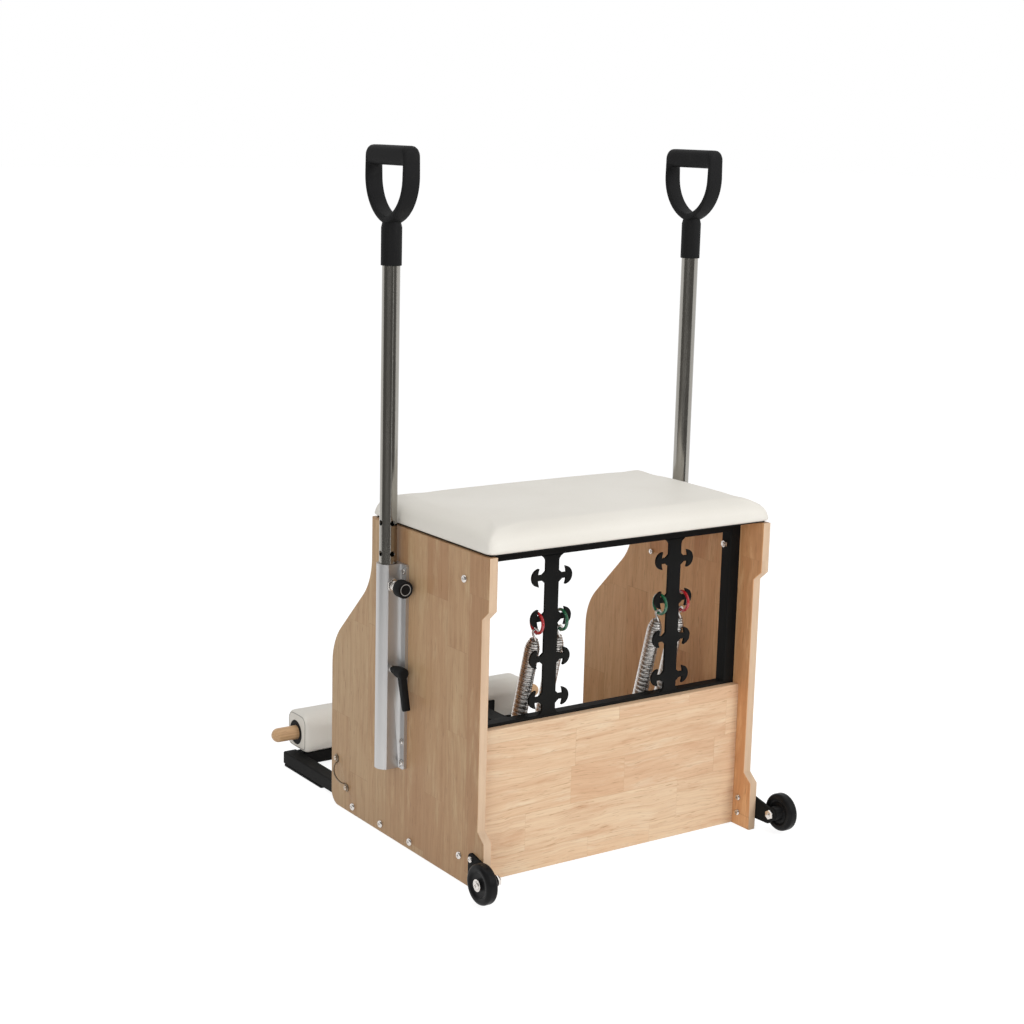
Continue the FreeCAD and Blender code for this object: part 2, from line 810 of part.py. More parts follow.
# Springs: a plain tube with the coil's outline and its wire as wall, coned in at both ends, on a
# narrow neck over the pedal's spring bar, with a wire lead up to the ring
def spring(label, x):
    wire = size.spring_wire.value
    bar = vector(x, at_depth(size.spring_bar_depth), size.spring_bar_height)
    top = vector(x, hang_y, ring_height - size.ring_diameter / 2 - size.hang_gap)
    along = (top - bar).normalize()
    beside = along.cross(FreeCAD.Vector(1, 0, 0))
    foot = bar + along * (size.spring_bar_diameter / 2 + size.hang_gap).value
    length = (top - foot).Length
    tip = length - size.spring_lead.value
    cone = size.spring_cone.value
    wide = size.spring_diameter.value / 2
    narrow = size.spring_tip_diameter.value / 2
    neck = size.spring_neck.value
    outside = [(0, wire), (neck, wire), (neck, narrow), (neck + cone, wide)]
    outside += [(tip - cone, wide), (tip, narrow), (tip, wire / 2), (length, wire / 2)]
    axis = [(length, 0), (tip - wire, 0)]
    bore = [(tip - wire, narrow - wire), (tip - cone, wide - wire), (neck + cone, wide - wire)]
    bore += [(neck, wire / 2), (0, wire / 2)]
    profile = [foot + along * climb + beside * radius for climb, radius in outside + axis + bore]
    made = doc.addObject("Part::Feature", label)
    made.Shape = Part.Face(Part.makePolygon(profile + profile[:1])).revolve(foot, along, 360)
    keep(made, label)


for side, sign in SIDES.items():
    for row_name, outward in (("outer", 1), ("inner", -1)):
        spring("spring_%s_%s" % (row_name, side), sign * (tree_middle + outward * hang_offset))


# Pole sleeves: aluminium section with two flanges, drilled for screws, plunger and clamp stud
def sleeve(side):
    sign = SIDES[side]
    body = new_body("pole_sleeve_" + side)
    dome = size.sleeve_dome_radius
    flat = size.sleeve_flat
    wing = size.flange_half_width
    dome_start = size.pole_standoff + (dome * dome - flat * flat).root()
    section = new_sketch(body, "XY_Plane")
    outline(section, [
        (ZERO, -wing),
        (size.flange_thickness, -wing),
        (size.flange_thickness, -flat),
        (dome_start, -flat, 1, dome),
        (dome_start, flat),
        (size.flange_thickness, flat),
        (size.flange_thickness, wing),
        (ZERO, wing),
    ])
    circle(section, size.pole_standoff, ZERO, size.pole_diameter / 2 + size.pole_fit)
    bar = feature(body, "Pad", section, size.sleeve_length)
    rounded(body, bar, size.flange_corner,
            lambda edge: edge.BoundBox.XLength > 1 and edge.BoundBox.YLength < 0.1 and edge.BoundBox.ZLength < 0.1
            and abs(edge.CenterOfMass.y) > wing.value - 0.1)
    holes = new_sketch(body, "YZ_Plane")
    for depth, height in flange_screw_places():
        circle(holes, size.pole_depth - depth, height - size.sleeve_bottom, size.screw_diameter / 2 + size.thread_fit)
    feature(body, "Pocket", holes, size.flange_thickness, backward=True)
    sockets = new_sketch(body, "XZ_Plane")
    circle(sockets, size.pole_standoff, size.index_height - size.sleeve_bottom, size.plunger_thread / 2 + size.thread_fit)
    circle(sockets, size.pole_standoff, size.lever_height - size.sleeve_bottom, size.lever_stud / 2 + size.lever_stud_fit)
    feature(body, "Pocket", sockets, None, backward=sign < 0)
    if sign < 0:
        turn(body, FreeCAD.Vector(0, 0, 1), 180)
    put(body, sign * half_width, at_depth(size.pole_depth), size.sleeve_bottom)
    keep(body, "pole_sleeve_" + side)


def pole(side):
    """Steel tube cross-drilled at every index height, in both directions."""
    x = SIDES[side] * pole_offset
    y = at_depth(size.pole_depth)
    outer = size.pole_diameter / 2
    tools = [rod(outer - size.pole_wall, size.pole_length, x, y, size.pole_bottom)]
    for row in range(-INDEX_ROWS_BELOW, INDEX_ROWS_ABOVE + 1):
        height = size.index_height + row * size.index_pitch
        tools.append(rod(size.index_hole / 2, size.pole_diameter, x - outer, y, height, "X"))
        tools.append(rod(size.index_hole / 2, size.pole_diameter, x, y - outer, height, "Y"))
    keep(cut(rod(outer, size.pole_length, x, y, size.pole_bottom), tools), "pole_" + side)


def strap_bend(half, bend, tip):
    """Where a strap edge that bends in from its flank passes into the round tip on the middle line."""
    middle = half - bend
    fall = ((bend - tip) * (bend - tip) - middle * middle).root()
    share = bend / (bend - tip)
    return middle - middle * share, size.grip_bend_height - fall * share


def grip(side):
    """Hand grip: a bar across the top, a strap bent round below it, and a socket for the pole."""
    body = new_body("grip_strap")
    half = size.grip_width / 2
    room_half = half - size.grip_strap_thickness
    bar_bottom = size.grip_top - size.grip_bar_size
    strap_top = bar_bottom + size.grip_bar_radius
    outer_x, outer_z = strap_bend(half, size.grip_outer_bend, size.grip_outer_tip)
    inner_x, inner_z = strap_bend(room_half, size.grip_inner_bend, size.grip_inner_tip)
    front = new_sketch(body, "YZ_Plane")
    outline(front, [
        (half, strap_top),
        (room_half, strap_top),
        (room_half, size.grip_bend_height, -1, size.grip_inner_bend),
        (inner_x, inner_z, -1, size.grip_inner_tip),
        (-inner_x, inner_z, -1, size.grip_inner_bend),
        (-room_half, size.grip_bend_height),
        (-room_half, strap_top),
        (-half, strap_top),
        (-half, size.grip_bend_height, 1, size.grip_outer_bend),
        (-outer_x, outer_z, 1, size.grip_outer_tip),
        (outer_x, outer_z, 1, size.grip_outer_bend),
        (half, size.grip_bend_height),
    ])
    blank = feature(body, "Pad", front, size.grip_strap_width, both_ways=True)
    rounded(body, blank, size.grip_strap_edge, lambda edge: edge.BoundBox.XLength < 0.1)
    bar = new_body("grip_bar")
    across = new_sketch(bar, "YZ_Plane")
    plain_box(across, (-half, bar_bottom), (half, size.grip_top))
    block = feature(bar, "Pad", across, size.grip_bar_size, both_ways=True)
    rounded(bar, block, size.grip_bar_radius, lambda edge: True)
    neck = rod(size.grip_socket_diameter / 2, inner_z - size.grip_inner_tip - size.grip_socket_bottom,
               ZERO, ZERO, size.grip_socket_bottom)
    bore = rod(size.pole_diameter / 2 + size.thread_fit, size.grip_socket_depth, ZERO, ZERO, size.grip_socket_bottom)
    made = cut(joined([body, bar, neck]), [bore])
    put(made, x=SIDES[side] * pole_offset, y=at_depth(size.pole_depth))
    keep(made, "grip_" + side)


for side in SIDES:
    sleeve(side)
    pole(side)
    grip(side)


# Plungers: hexagon and neck screwed into the sleeve, knob with the locking pin sliding in them
def hexagon(across_flats, thickness, x, y, z, along):
    """Hexagonal prism that starts at the given point and runs along +X or +Y."""
    made = doc.addObject("Part::Prism", "hexagon")
    made.Polygon = 6
    made.setExpression("Circumradius", (across_flats / (2 * math.cos(math.pi / 6))).text)
    made.setExpression("Height", thickness.text)
    turns = {"X": (FreeCAD.Vector(0, 1, 0), 90), "Y": (FreeCAD.Vector(1, 0, 0), -90)}
    turn(made, *turns[along])
    return put(made, x, y, z)


flat_y = at_depth(size.pole_depth) + size.sleeve_flat
wall_y = at_depth(size.pole_depth) + size.pole_diameter / 2 + size.pole_fit
for side, sign in SIDES.items():
    x = sign * pole_offset
    z = size.index_height
    thread_start = wall_y + size.pole_fit
    hex_end = flat_y + size.plunger_hex_thickness
    shell = joined([
        rod(size.plunger_thread / 2, hex_end - thread_start, x, thread_start, z, "Y"),
        hexagon(size.plunger_hex, size.plunger_hex_thickness, x, flat_y, z, "Y"),
        rod(size.plunger_neck / 2, size.plunger_neck_length, x, hex_end, z, "Y"),
    ])
    bore_length = hex_end + size.plunger_neck_length - thread_start
    bore = rod(size.pin_diameter / 2 + size.pin_fit, bore_length, x, thread_start, z, "Y")
    keep(cut(shell, [bore]), "plunger_body_" + side)

    knob_start = hex_end + size.knob_park_gap
    cavity = rod(size.plunger_neck / 2 + size.knob_cavity_fit, size.knob_cavity_depth, x, knob_start, z, "Y")
    knob = cut(rod(size.knob_diameter / 2, size.knob_length, x, knob_start, z, "Y"), [cavity])
    pin_start = at_depth(size.pole_depth) + size.pole_diameter / 2 + size.pin_parked_gap
    pin_length = knob_start + size.knob_length - size.knob_cavity_depth / 4 - pin_start
    pin = rod(size.pin_diameter / 2, pin_length, x, pin_start, z, "Y")
    keep(joined([knob, pin]), "plunger_knob_" + side)


# Clamp levers: turned stud, cone and hub, with a slanted arm
def clamp_lever(side):
    body = new_body("clamp_lever_" + side)
    gap = size.lever_gap
    stud = size.lever_stud / 2
    hub = size.lever_hub_diameter / 2
    crown = hub * 0.4
    hub_start = gap + size.lever_neck_length
    hub_end = hub_start + size.lever_hub_length
    stud_end = size.pole_diameter / 2 + size.lever_gap - size.sleeve_flat
    turned = new_sketch(body, "XY_Plane")
    outline(turned, [
        (ZERO, stud_end),
        (stud, stud_end),
        (stud, gap),
        (size.lever_base_diameter / 2, gap),
        (hub, hub_start),
        (hub, hub_end - crown, 1, crown),
        (hub - crown, hub_end),
        (ZERO, hub_end),
    ])
    spun(body, "Revolution", turned)
    middle = hub_start + size.lever_hub_length / 2
    tip = middle + size.lever_arm_rise
    thick = size.lever_arm_depth / 2
    root = 1.3 * thick
    end = size.lever_arm_length - thick
    side_view = new_sketch(body, "YZ_Plane")
    outline(side_view, [
        (middle - root, ZERO),
        (tip - thick, -end, 1, 1.05 * thick),
        (tip + thick, -end),
        (middle + root, ZERO),
    ])
    feature(body, "Pad", side_view, size.lever_arm_width, both_ways=True)
    put(body, SIDES[side] * pole_offset, flat_y, size.lever_height)
    keep(body, "clamp_lever_" + side)


for side in SIDES:
    clamp_lever(side)


# Wheels: plate on the panel's outer face, wheel turning on a bolt behind the rear edge
axle_y = rear_edge + size.axle_reach


def wheel_plate(side):
    body = new_body("wheel_plate_" + side)
    front = at_depth(size.plate_front)
    end = size.axle_height - size.plate_bottom
    corner = size.plate_corner
    profile = new_sketch(body, "YZ_Plane")
    outline(profile, [
        (front, size.plate_bottom),
        (axle_y, size.plate_bottom, 1, end),
        (axle_y + end, size.axle_height, 1, end),
        (axle_y, size.axle_height + end),
        (rear_edge + size.axle_reach / 2, size.plate_top),
        (front + corner, size.plate_top),
        (front, size.plate_top - corner),
    ])
    circle(profile, axle_y, size.axle_height, size.axle_diameter / 2 + size.thread_fit)
    for depth, height in plate_screw_places():
        circle(profile, at_depth(depth), height, size.screw_diameter / 2 + size.thread_fit)
    feature(body, "Pad", profile, size.plate_thickness)
    put(body, x=half_width if SIDES[side] > 0 else -half_width - size.plate_thickness)
    keep(body, "wheel_plate_" + side)


def wheel(side):
    """Wheel with a dished face on both sides and a long hub towards the plate."""
    body = new_body("wheel_" + side)
    hub = size.wheel_hub_width
    outer = hub + size.wheel_width
    dish = size.wheel_dish
    rim = size.wheel_diameter / 2
    tread = size.wheel_tread_radius
    lip = rim - tread - dish
    profile = new_sketch(body, "XY_Plane")
    outline(profile, [
        (ZERO, size.axle_diameter / 2 + size.axle_fit),
        (outer - dish, size.axle_diameter / 2 + size.axle_fit),
        (outer - dish, lip - dish),
        (outer, lip),
        (outer, rim - tread, 1, tread),
        (outer - tread, rim),
        (hub + tread, rim, 1, tread),
        (hub, rim - tread),
        (hub, lip),
        (hub + dish, lip - dish),
        (hub + dish, size.wheel_hub_diameter / 2),
        (ZERO, size.wheel_hub_diameter / 2),
    ])
    spun(body, "Revolution", profile, "H_Axis")
    if SIDES[side] < 0:
        turn(body, FreeCAD.Vector(0, 0, 1), 180)
    start = half_width + size.plate_thickness + size.wheel_gap
    put(body, SIDES[side] * start, axle_y, size.axle_height)
    keep(body, "wheel_" + side)


def wheel_axle(side):
    """Axle bolt with its washer outside the wheel and its nut behind the plate."""
    sign = SIDES[side]
    plate_inside = half_width
    hub_start = half_width + size.plate_thickness + size.wheel_gap
    washer_start = hub_start + size.wheel_hub_width + size.wheel_width - size.wheel_dish + size.wheel_gap
    bolt_start = plate_inside - 1.4 * size.bolt_nut_height

    def run(begin, length):
        return begin if sign > 0 else -begin - length

    pieces = []
    for radius, begin, length in (
            (size.axle_diameter / 2, bolt_start, washer_start - bolt_start),
            (0.42 * size.wheel_hub_diameter, washer_start, size.wheel_dish / 2),
            (size.bolt_head / 2, washer_start, size.wheel_dish / 2 + size.bolt_head_height)):
        pieces.append(rod(radius, length, run(begin, length), axle_y, size.axle_height, "X"))
    nut_start = run(plate_inside - size.bolt_nut_height, size.bolt_nut_height)
    pieces.append(hexagon(size.bolt_nut, size.bolt_nut_height, nut_start, axle_y, size.axle_height, "X"))
    keep(joined(pieces), "wheel_axle_" + side)


for side in SIDES:
    wheel_plate(side)
    wheel(side)
    wheel_axle(side)

# Pivot: brackets on the posts, one shaft between them, collars beside the pedal hubs
pivot_y = at_depth(size.pivot_depth)


def pivot_bracket(side):
    body = new_body("pivot_bracket_" + side)
    half = size.bracket_height / 2
    corner = half * 0.6
    front = at_depth(frame_rear + size.bracket_length)
    profile = new_sketch(body, "YZ_Plane")
    outline(profile, [
        (front + corner, size.pivot_height - half),
        (at_depth(frame_rear), size.pivot_height - half),
        (at_depth(frame_rear), size.pivot_height + half),
        (front + corner, size.pivot_height + half, 1, corner),
        (front, size.pivot_height + half - corner),
        (front, size.pivot_height - half + corner, 1, corner),
    ])
    circle(profile, pivot_y, size.pivot_height, size.shaft_diameter / 2 + size.shaft_fit)
    depth, height = bolt_places()[1]
    circle(profile, at_depth(depth), height, size.bolt_diameter / 2 + size.thread_fit)
    feature(body, "Pad", profile, size.bracket_thickness)
    put(body, x=rail_span - size.bracket_thickness if SIDES[side] > 0 else -rail_span)
    keep(body, "pivot_bracket_" + side)


for side in SIDES:
    pivot_bracket(side)
keep(rod(size.shaft_diameter / 2, 2 * rail_span, -rail_span, pivot_y, size.pivot_height, "X"), "pivot_shaft")

collars = []
for sign in SIDES.values():
    reach = size.hub_length / 2 + size.collar_gap
    for start in (sign * tree_middle + reach, sign * tree_middle - reach - size.collar_width):
        collar = rod(size.collar_diameter / 2, size.collar_width, start, pivot_y, size.pivot_height, "X")
        hole = rod(size.shaft_diameter / 2, size.collar_width, start, pivot_y, size.pivot_height, "X")
        collars.append(cut(collar, [hole]))
collar_set = doc.addObject("Part::Compound", "collars")
collar_set.Links = collars
keep(collar_set, "shaft_collars")


# Pedals: welded frame on the shaft, padded foot bar over a wooden core, black end bush
pad_rear = size.pad_depth - size.pad_width / 2
pad_y = at_depth(size.pad_depth)
pad_start = size.pad_middle_gap / 2
end_margin = size.bush_depth + size.bush_recess
dowel_hole = size.dowel_diameter / 2 + size.dowel_fit


def pedal_frame(side):
    middle = SIDES[side] * tree_middle
    arm_x = middle - size.arm_width / 2
    arm_bottom = size.pivot_height - size.arm_height / 2
    plate_rear = at_depth(pad_rear - size.pad_plate_thickness)
    bar_y = at_depth(size.spring_bar_depth)
    hub_x = middle - size.hub_length / 2
    lug_height = size.spring_bar_height - size.pivot_height
    pieces = [
        rod(size.hub_diameter / 2, size.hub_length, hub_x, pivot_y, size.pivot_height, "X"),
        box(size.arm_width, pivot_y - plate_rear, size.arm_height, arm_x, plate_rear, arm_bottom),
        box(size.pad_plate_width, size.pad_plate_thickness, size.pad_plate_height,
            middle - size.pad_plate_width / 2, at_depth(pad_rear), size.pad_plate_bottom),
        rod(size.spring_bar_diameter / 2, size.spring_bar_length,
            middle - size.spring_bar_length / 2, bar_y, size.spring_bar_height, "X"),
    ]
    for lug_x in (arm_x, arm_x + size.arm_width - size.lug_thickness):
        pieces.append(box(size.lug_thickness, size.lug_width, lug_height,
                          lug_x, bar_y - size.lug_width / 2, size.pivot_height))
        pieces.append(rod(size.lug_width / 2, size.lug_thickness, lug_x, bar_y, size.spring_bar_height, "X"))
    wall = size.arm_wall
    hollow_rear = pivot_y - size.hub_diameter / 2 - wall
    hollow = box(size.arm_width - 2 * wall, hollow_rear - plate_rear, size.arm_height - 2 * wall,
                 arm_x + wall, plate_rear, arm_bottom + wall)
    bore = rod(size.shaft_diameter / 2 + size.shaft_fit, size.hub_length, hub_x, pivot_y, size.pivot_height, "X")
    keep(cut(joined(pieces), [hollow, bore]), "pedal_frame_" + side)


def pedal_pad(side):
    sign = SIDES[side]
    start = pad_start if sign > 0 else -pad_start - size.pad_length
    outer_end = pad_start + size.pad_length
    half = size.pad_width / 2
    flat_top = pad_bottom + size.pad_height - size.pad_crown
    body = new_body("pedal_pad_" + side)
    section = new_sketch(body, "YZ_Plane")
    outline(section, [
        (-half, pad_bottom),
        (half, pad_bottom),
        (half, flat_top, 1, arc_radius(half, size.pad_crown)),
        (-half, flat_top),
    ])
    block = feature(body, "Pad", section, size.pad_length)
    block = rounded(body, block, size.pad_shoulder_radius, lambda edge: edge.BoundBox.XLength > 1
                    and edge.BoundBox.ZMin > flat_top.value - 1)
    block = rounded(body, block, size.pad_hem_radius, lambda edge: edge.BoundBox.XLength > 1
                    and edge.BoundBox.ZMax < pad_bottom.value + 1)
    rounded(body, block, size.pad_end_radius, lambda edge: edge.BoundBox.XLength < 0.1)
    put(body, x=start, y=pad_y)

    core_x = start + end_margin
    core_length = size.pad_length - 2 * end_margin
    core_y = pad_y - size.core_width / 2
    core_z = size.dowel_height - size.core_height / 2
    bush_start = outer_end - end_margin
    bush_x = bush_start if sign > 0 else -bush_start - end_margin
    core_room = box(core_length, size.core_width, size.core_height, core_x, core_y, core_z)
    bush_room = rod(size.bush_diameter / 2, end_margin, bush_x, pad_y, size.dowel_height, "X")
    dowel_room = rod(dowel_hole, size.pad_length, start, pad_y, size.dowel_height, "X")
    keep(cut(body, [core_room, bush_room, dowel_room]), "pedal_pad_" + side)

    core = box(core_length, size.core_width, size.core_height, core_x, core_y, core_z)
    core_hole = rod(dowel_hole, core_length, core_x, pad_y, size.dowel_height, "X")
    keep(cut(core, [core_hole]), "pedal_core_" + side)

    bush_x = bush_start if sign > 0 else -bush_start - size.bush_depth
    bush = rod(size.bush_diameter / 2, size.bush_depth, bush_x, pad_y, size.dowel_height, "X")
    bush_hole = rod(dowel_hole, size.bush_depth, bush_x, pad_y, size.dowel_height, "X")
    keep(cut(bush, [bush_hole]), "pad_bush_" + side)


for side in SIDES:
    pedal_frame(side)
    pedal_pad(side)

# Dowel that links both pads, with round ends
dowel = new_body("linking_dowel")
dowel_radius = size.dowel_diameter / 2
dowel_profile = new_sketch(dowel, "XY_Plane")
outline(dowel_profile, [
    (-size.dowel_reach, ZERO),
    (size.dowel_reach, ZERO, 1, dowel_radius),
    (size.dowel_reach - dowel_radius, dowel_radius),
    (dowel_radius - size.dowel_reach, dowel_radius, 1, dowel_radius),
])
spun(dowel, "Revolution", dowel_profile, "H_Axis")
put(dowel, y=pad_y, z=size.dowel_height)
keep(dowel, "linking_dowel")

stops = []
for sign in SIDES.values():
    for share in (0.25, 0.75):
        stop_x = sign * (pad_start + share * size.pad_length)
        stop_y = crossbar_front + size.base_tube_width / 2
        stops.append(rod(size.stop_diameter / 2, size.stop_height - size.soft_gap, stop_x, stop_y, base_top))
stop_set = doc.addObject("Part::Compound", "stops")
stop_set.Links = stops
keep(stop_set, "pedal_stops")


# Fasteners: button heads outside, hexagon nuts inside
def through_bolt(sign, depth, height, outside, inside, shank, head, head_height, nut, nut_height):
    """Bolt from a head on the outer face, right through to a nut on the inner face."""
    out = FreeCAD.Vector(sign, 0, 0)
    y = at_depth(depth)
    face = vector(sign * outside, y, height)
    back = vector(sign * inside, y, height)
    button = Part.makeCylinder(head.value / 2, head_height.value, face, out)
    rim = [edge for edge in button.Edges if edge.Closed and abs(edge.CenterOfMass.x) > outside.value + 0.1]
    button = button.makeFillet(head_height.value * 0.6, rim)
    tail = nut_height.value * 1.3
    stem = Part.makeCylinder(shank.value / 2, (face - back).Length + tail, face, -out)
    reach = nut.value / (2 * math.cos(math.pi / 6))
    corners = []
    for number in range(7):
        angle = math.pi / 3 * number
        corners.append(back + FreeCAD.Vector(0, reach * math.cos(angle), reach * math.sin(angle)))
    hexnut = Part.Face(Part.makePolygon(corners)).extrude(-out * nut_height.value)
    return button.fuse([stem, hexnut]).removeSplitter()


bolts = []
flange_screws = []
plate_screws = []
loop_screws = []
post_face = inner_face - size.frame_tube
for sign in SIDES.values():
    nut_faces = [post_face, post_face - size.bracket_thickness]
    nut_faces.extend([inner_face - size.base_tube_width] * RAIL_BOLTS)
    for (depth, height), nut_face in zip(bolt_places(), nut_faces):
        bolts.append(through_bolt(sign, depth, height, half_width, nut_face, size.bolt_diameter, size.bolt_head,
                                  size.bolt_head_height, size.bolt_nut, size.bolt_nut_height))
    screw_sizes = (size.screw_diameter, size.screw_head, size.screw_head_height, size.screw_nut, size.screw_nut_height)
    for depth, height in flange_screw_places():
        flange_screws.append(through_bolt(sign, depth, height, half_width + size.flange_thickness, inner_face, *screw_sizes))
    for depth, height in plate_screw_places():
        plate_screws.append(through_bolt(sign, depth, height, half_width + size.plate_thickness, inner_face, *screw_sizes))
    for depth, height in loop_places():
        out = FreeCAD.Vector(sign, 0, 0)
        face = vector(sign * (half_width + size.loop_wire), at_depth(depth), height)
        head = Part.makeCylinder(size.loop_screw_head.value / 2, size.loop_wire.value, face, out)
        shank = Part.makeCylinder(size.loop_screw.value / 2, size.loop_screw_length.value, face, -out)
        loop_screws.append(head.fuse(shank).removeSplitter())
solid_group("panel_bolts", bolts)
solid_group("sleeve_screws", flange_screws)
solid_group("wheel_plate_screws", plate_screws)
solid_group("strap_loop_screws", loop_screws)


# Wire loops for bands: an eye round each screw, and a bow that stands off the panel
def biarc(start, start_way, stop, stop_way):
    """Two arcs that leave one point and reach another along the given directions."""
    gap = stop - start
    ways = start_way + stop_way
    square = 2 * (start_way.dot(stop_way) - 1)
    slope = -2 * gap.dot(ways)
    reach = (-slope - math.sqrt(slope * slope - 4 * square * gap.dot(gap))) / (2 * square)
    first_knee = start + start_way * reach
    second_knee = stop - stop_way * reach
    join = (first_knee + second_knee) / 2
    arcs = []
    for one, knee, two in ((start, first_knee, join), (join, second_knee, stop)):
        middle = (one + two) / 2
        lift = knee - middle
        half_turn = (knee - one).getAngle(two - one)
        arcs.append(Part.Arc(one, middle + lift * (math.tan(half_turn / 2) / math.tan(half_turn)), two))
    return arcs


def strap_loop(side):
    out = FreeCAD.Vector(SIDES[side], 0, 0)
    wire = size.loop_wire.value / 2
    eye = (size.loop_eye.value - size.loop_wire.value) / 2
    ends = []
    for depth, height in loop_places():
        ends.append(vector(SIDES[side] * half_width, at_depth(depth), height) + out * wire)
    along = (ends[1] - ends[0]).normalize()
    span = (ends[1] - ends[0]).Length
    rise = size.loop_standoff.value
    foot = ends[0] + along * eye
    knee = foot + along * eye + out * (rise * 0.5)
    crown = ends[0] + along * (span / 2) + out * rise
    far_foot = ends[1] - along * eye
    slant = (along + out).normalize()
    fall = (along - out).normalize()
    far_knee = far_foot - along * eye + out * (rise * 0.5)
    stations = [(foot, along), (knee, slant), (crown, along), (far_knee, fall), (far_foot, along)]
    curves = []
    for (start, start_way), (stop, stop_way) in zip(stations, stations[1:]):
        curves.extend(biarc(start, start_way, stop, stop_way))
    path = Part.Wire([curve.toShape() for curve in curves])
    section = Part.Wire([Part.Circle(foot, along, wire).toShape()])
    bow = path.makePipeShell([section], True, False)
    eyes = [Part.makeTorus(eye, wire, end, out) for end in ends]
    made = doc.addObject("Part::Feature", "strap_loop_" + side)
    made.Shape = bow.fuse(eyes).removeSplitter()
    keep(made, "strap_loop_" + side)


for side in SIDES:
    strap_loop(side)

# Recompute, check every object, then write one file per sub-part
doc.recompute()
broken = [item.Label for item in doc.Objects if "Invalid" in item.State or "Error" in item.State]
broken.extend(piece.Label for piece in sub_parts if piece.Shape.isNull() or not piece.Shape.isValid())
if broken:
    raise RuntimeError("did not build: " + ", ".join(broken))
os.makedirs("parts", exist_ok=True)
for piece in sub_parts:
    piece.Shape.exportStep("parts/%s.step" % piece.Label)
print("wrote %d sub-parts" % len(sub_parts))
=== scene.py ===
import bpy
import bmesh
import math
from mathutils import Matrix, Vector
from mathutils.bvhtree import BVHTree


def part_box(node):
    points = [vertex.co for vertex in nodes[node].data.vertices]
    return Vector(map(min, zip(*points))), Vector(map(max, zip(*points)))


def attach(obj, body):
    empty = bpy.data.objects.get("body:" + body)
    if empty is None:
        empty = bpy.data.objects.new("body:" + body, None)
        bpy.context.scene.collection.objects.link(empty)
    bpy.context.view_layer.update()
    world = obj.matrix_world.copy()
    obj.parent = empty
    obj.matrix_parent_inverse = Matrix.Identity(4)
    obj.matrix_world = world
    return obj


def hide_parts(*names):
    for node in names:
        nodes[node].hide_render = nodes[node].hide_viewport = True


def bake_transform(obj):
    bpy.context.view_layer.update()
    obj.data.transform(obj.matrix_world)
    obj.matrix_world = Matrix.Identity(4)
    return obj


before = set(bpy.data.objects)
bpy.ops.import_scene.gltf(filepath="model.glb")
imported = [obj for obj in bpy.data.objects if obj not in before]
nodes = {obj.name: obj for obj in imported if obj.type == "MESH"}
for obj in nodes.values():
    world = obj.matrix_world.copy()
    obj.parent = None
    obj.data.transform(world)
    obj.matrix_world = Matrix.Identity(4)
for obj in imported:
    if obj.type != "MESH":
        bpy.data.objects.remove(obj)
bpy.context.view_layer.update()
scene = bpy.context.scene


# Upright frame and base. Square steel tube, welded and powder-coated black, carries both side
# panels; the base rails run forward under the pedals to a crossbar on the floor.
class Shade:
    """One socket of a material: arithmetic on it adds Math nodes, add() adds any other node."""

    def __init__(self, tree, socket=None):
        self.tree = tree
        self.socket = socket

    def add(self, kind, settings=None, inputs=None, output=0):
        made = self.tree.nodes.new("ShaderNode" + kind)
        for name, value in (settings or {}).items():
            if name == "stops":
                while len(made.color_ramp.elements) < len(value):
                    made.color_ramp.elements.new(0.5)
                for element, (position, colour) in zip(made.color_ramp.elements, value):
                    element.position = position
                    element.color = (*colour, 1.0)
            else:
                setattr(made, name, value)
        for name, value in (inputs or {}).items():
            if isinstance(value, Shade):
                self.tree.links.new(value.socket, made.inputs[name])
            else:
                made.inputs[name].default_value = value
        return Shade(self.tree, made.outputs[output])

    def maths(self, operation, other=0.0, swap=False):
        first, second = (other, self) if swap else (self, other)
        return self.add("Math", {"operation": operation}, {0: first, 1: second})

    def __add__(self, other):
        return self.maths("ADD", other)

    def __radd__(self, other):
        return self.maths("ADD", other, True)

    def __sub__(self, other):
        return self.maths("SUBTRACT", other)

    def __rsub__(self, other):
        return self.maths("SUBTRACT", other, True)

    def __mul__(self, other):
        return self.maths("MULTIPLY", other)

    def __rmul__(self, other):
        return self.maths("MULTIPLY", other, True)

    def __truediv__(self, other):
        return self.maths("DIVIDE", other)

    def axis(self, letter):
        return self.add("SeparateXYZ", None, {0: self}, letter)

    def stretched(self, x, y, z):
        return self.add("VectorMath", {"operation": "MULTIPLY"}, {0: self, 1: (x, y, z)})

    def noise(self, scale, detail=3.0, rough=0.5):
        inputs = {"Vector": self, "Scale": scale, "Detail": detail, "Roughness": rough}
        return self.add("TexNoise", None, inputs)

    def between(self, low, high):
        """0 below low, 1 above high, smooth in between."""
        settings = {"interpolation_type": "SMOOTHSTEP", "clamp": True}
        return self.add("MapRange", settings, {"Value": self, "From Min": low, "From Max": high})

    def mix(self, first, second):
        """This value blends the first colour into the second."""
        return self.add("Mix", {"data_type": "RGBA"}, {0: self, 6: first, 7: second}, 2)

    def bump(self, strength, distance):
        return self.add("Bump", None, {"Height": self, "Strength": strength, "Distance": distance})

    def feed(self, shader, socket):
        self.tree.links.new(self.socket, shader.inputs[socket])


def finish(name, **sockets):
    """A new material, its Principled shader with these constant sockets, and its Object coordinates."""
    material = bpy.data.materials.new(name)
    material.use_nodes = True
    shader = material.node_tree.nodes["Principled BSDF"]
    for socket, value in sockets.items():
        shader.inputs[socket.replace("_", " ")].default_value = value
    place = Shade(material.node_tree).add("TexCoord", None, None, "Object")
    return material, shader, place


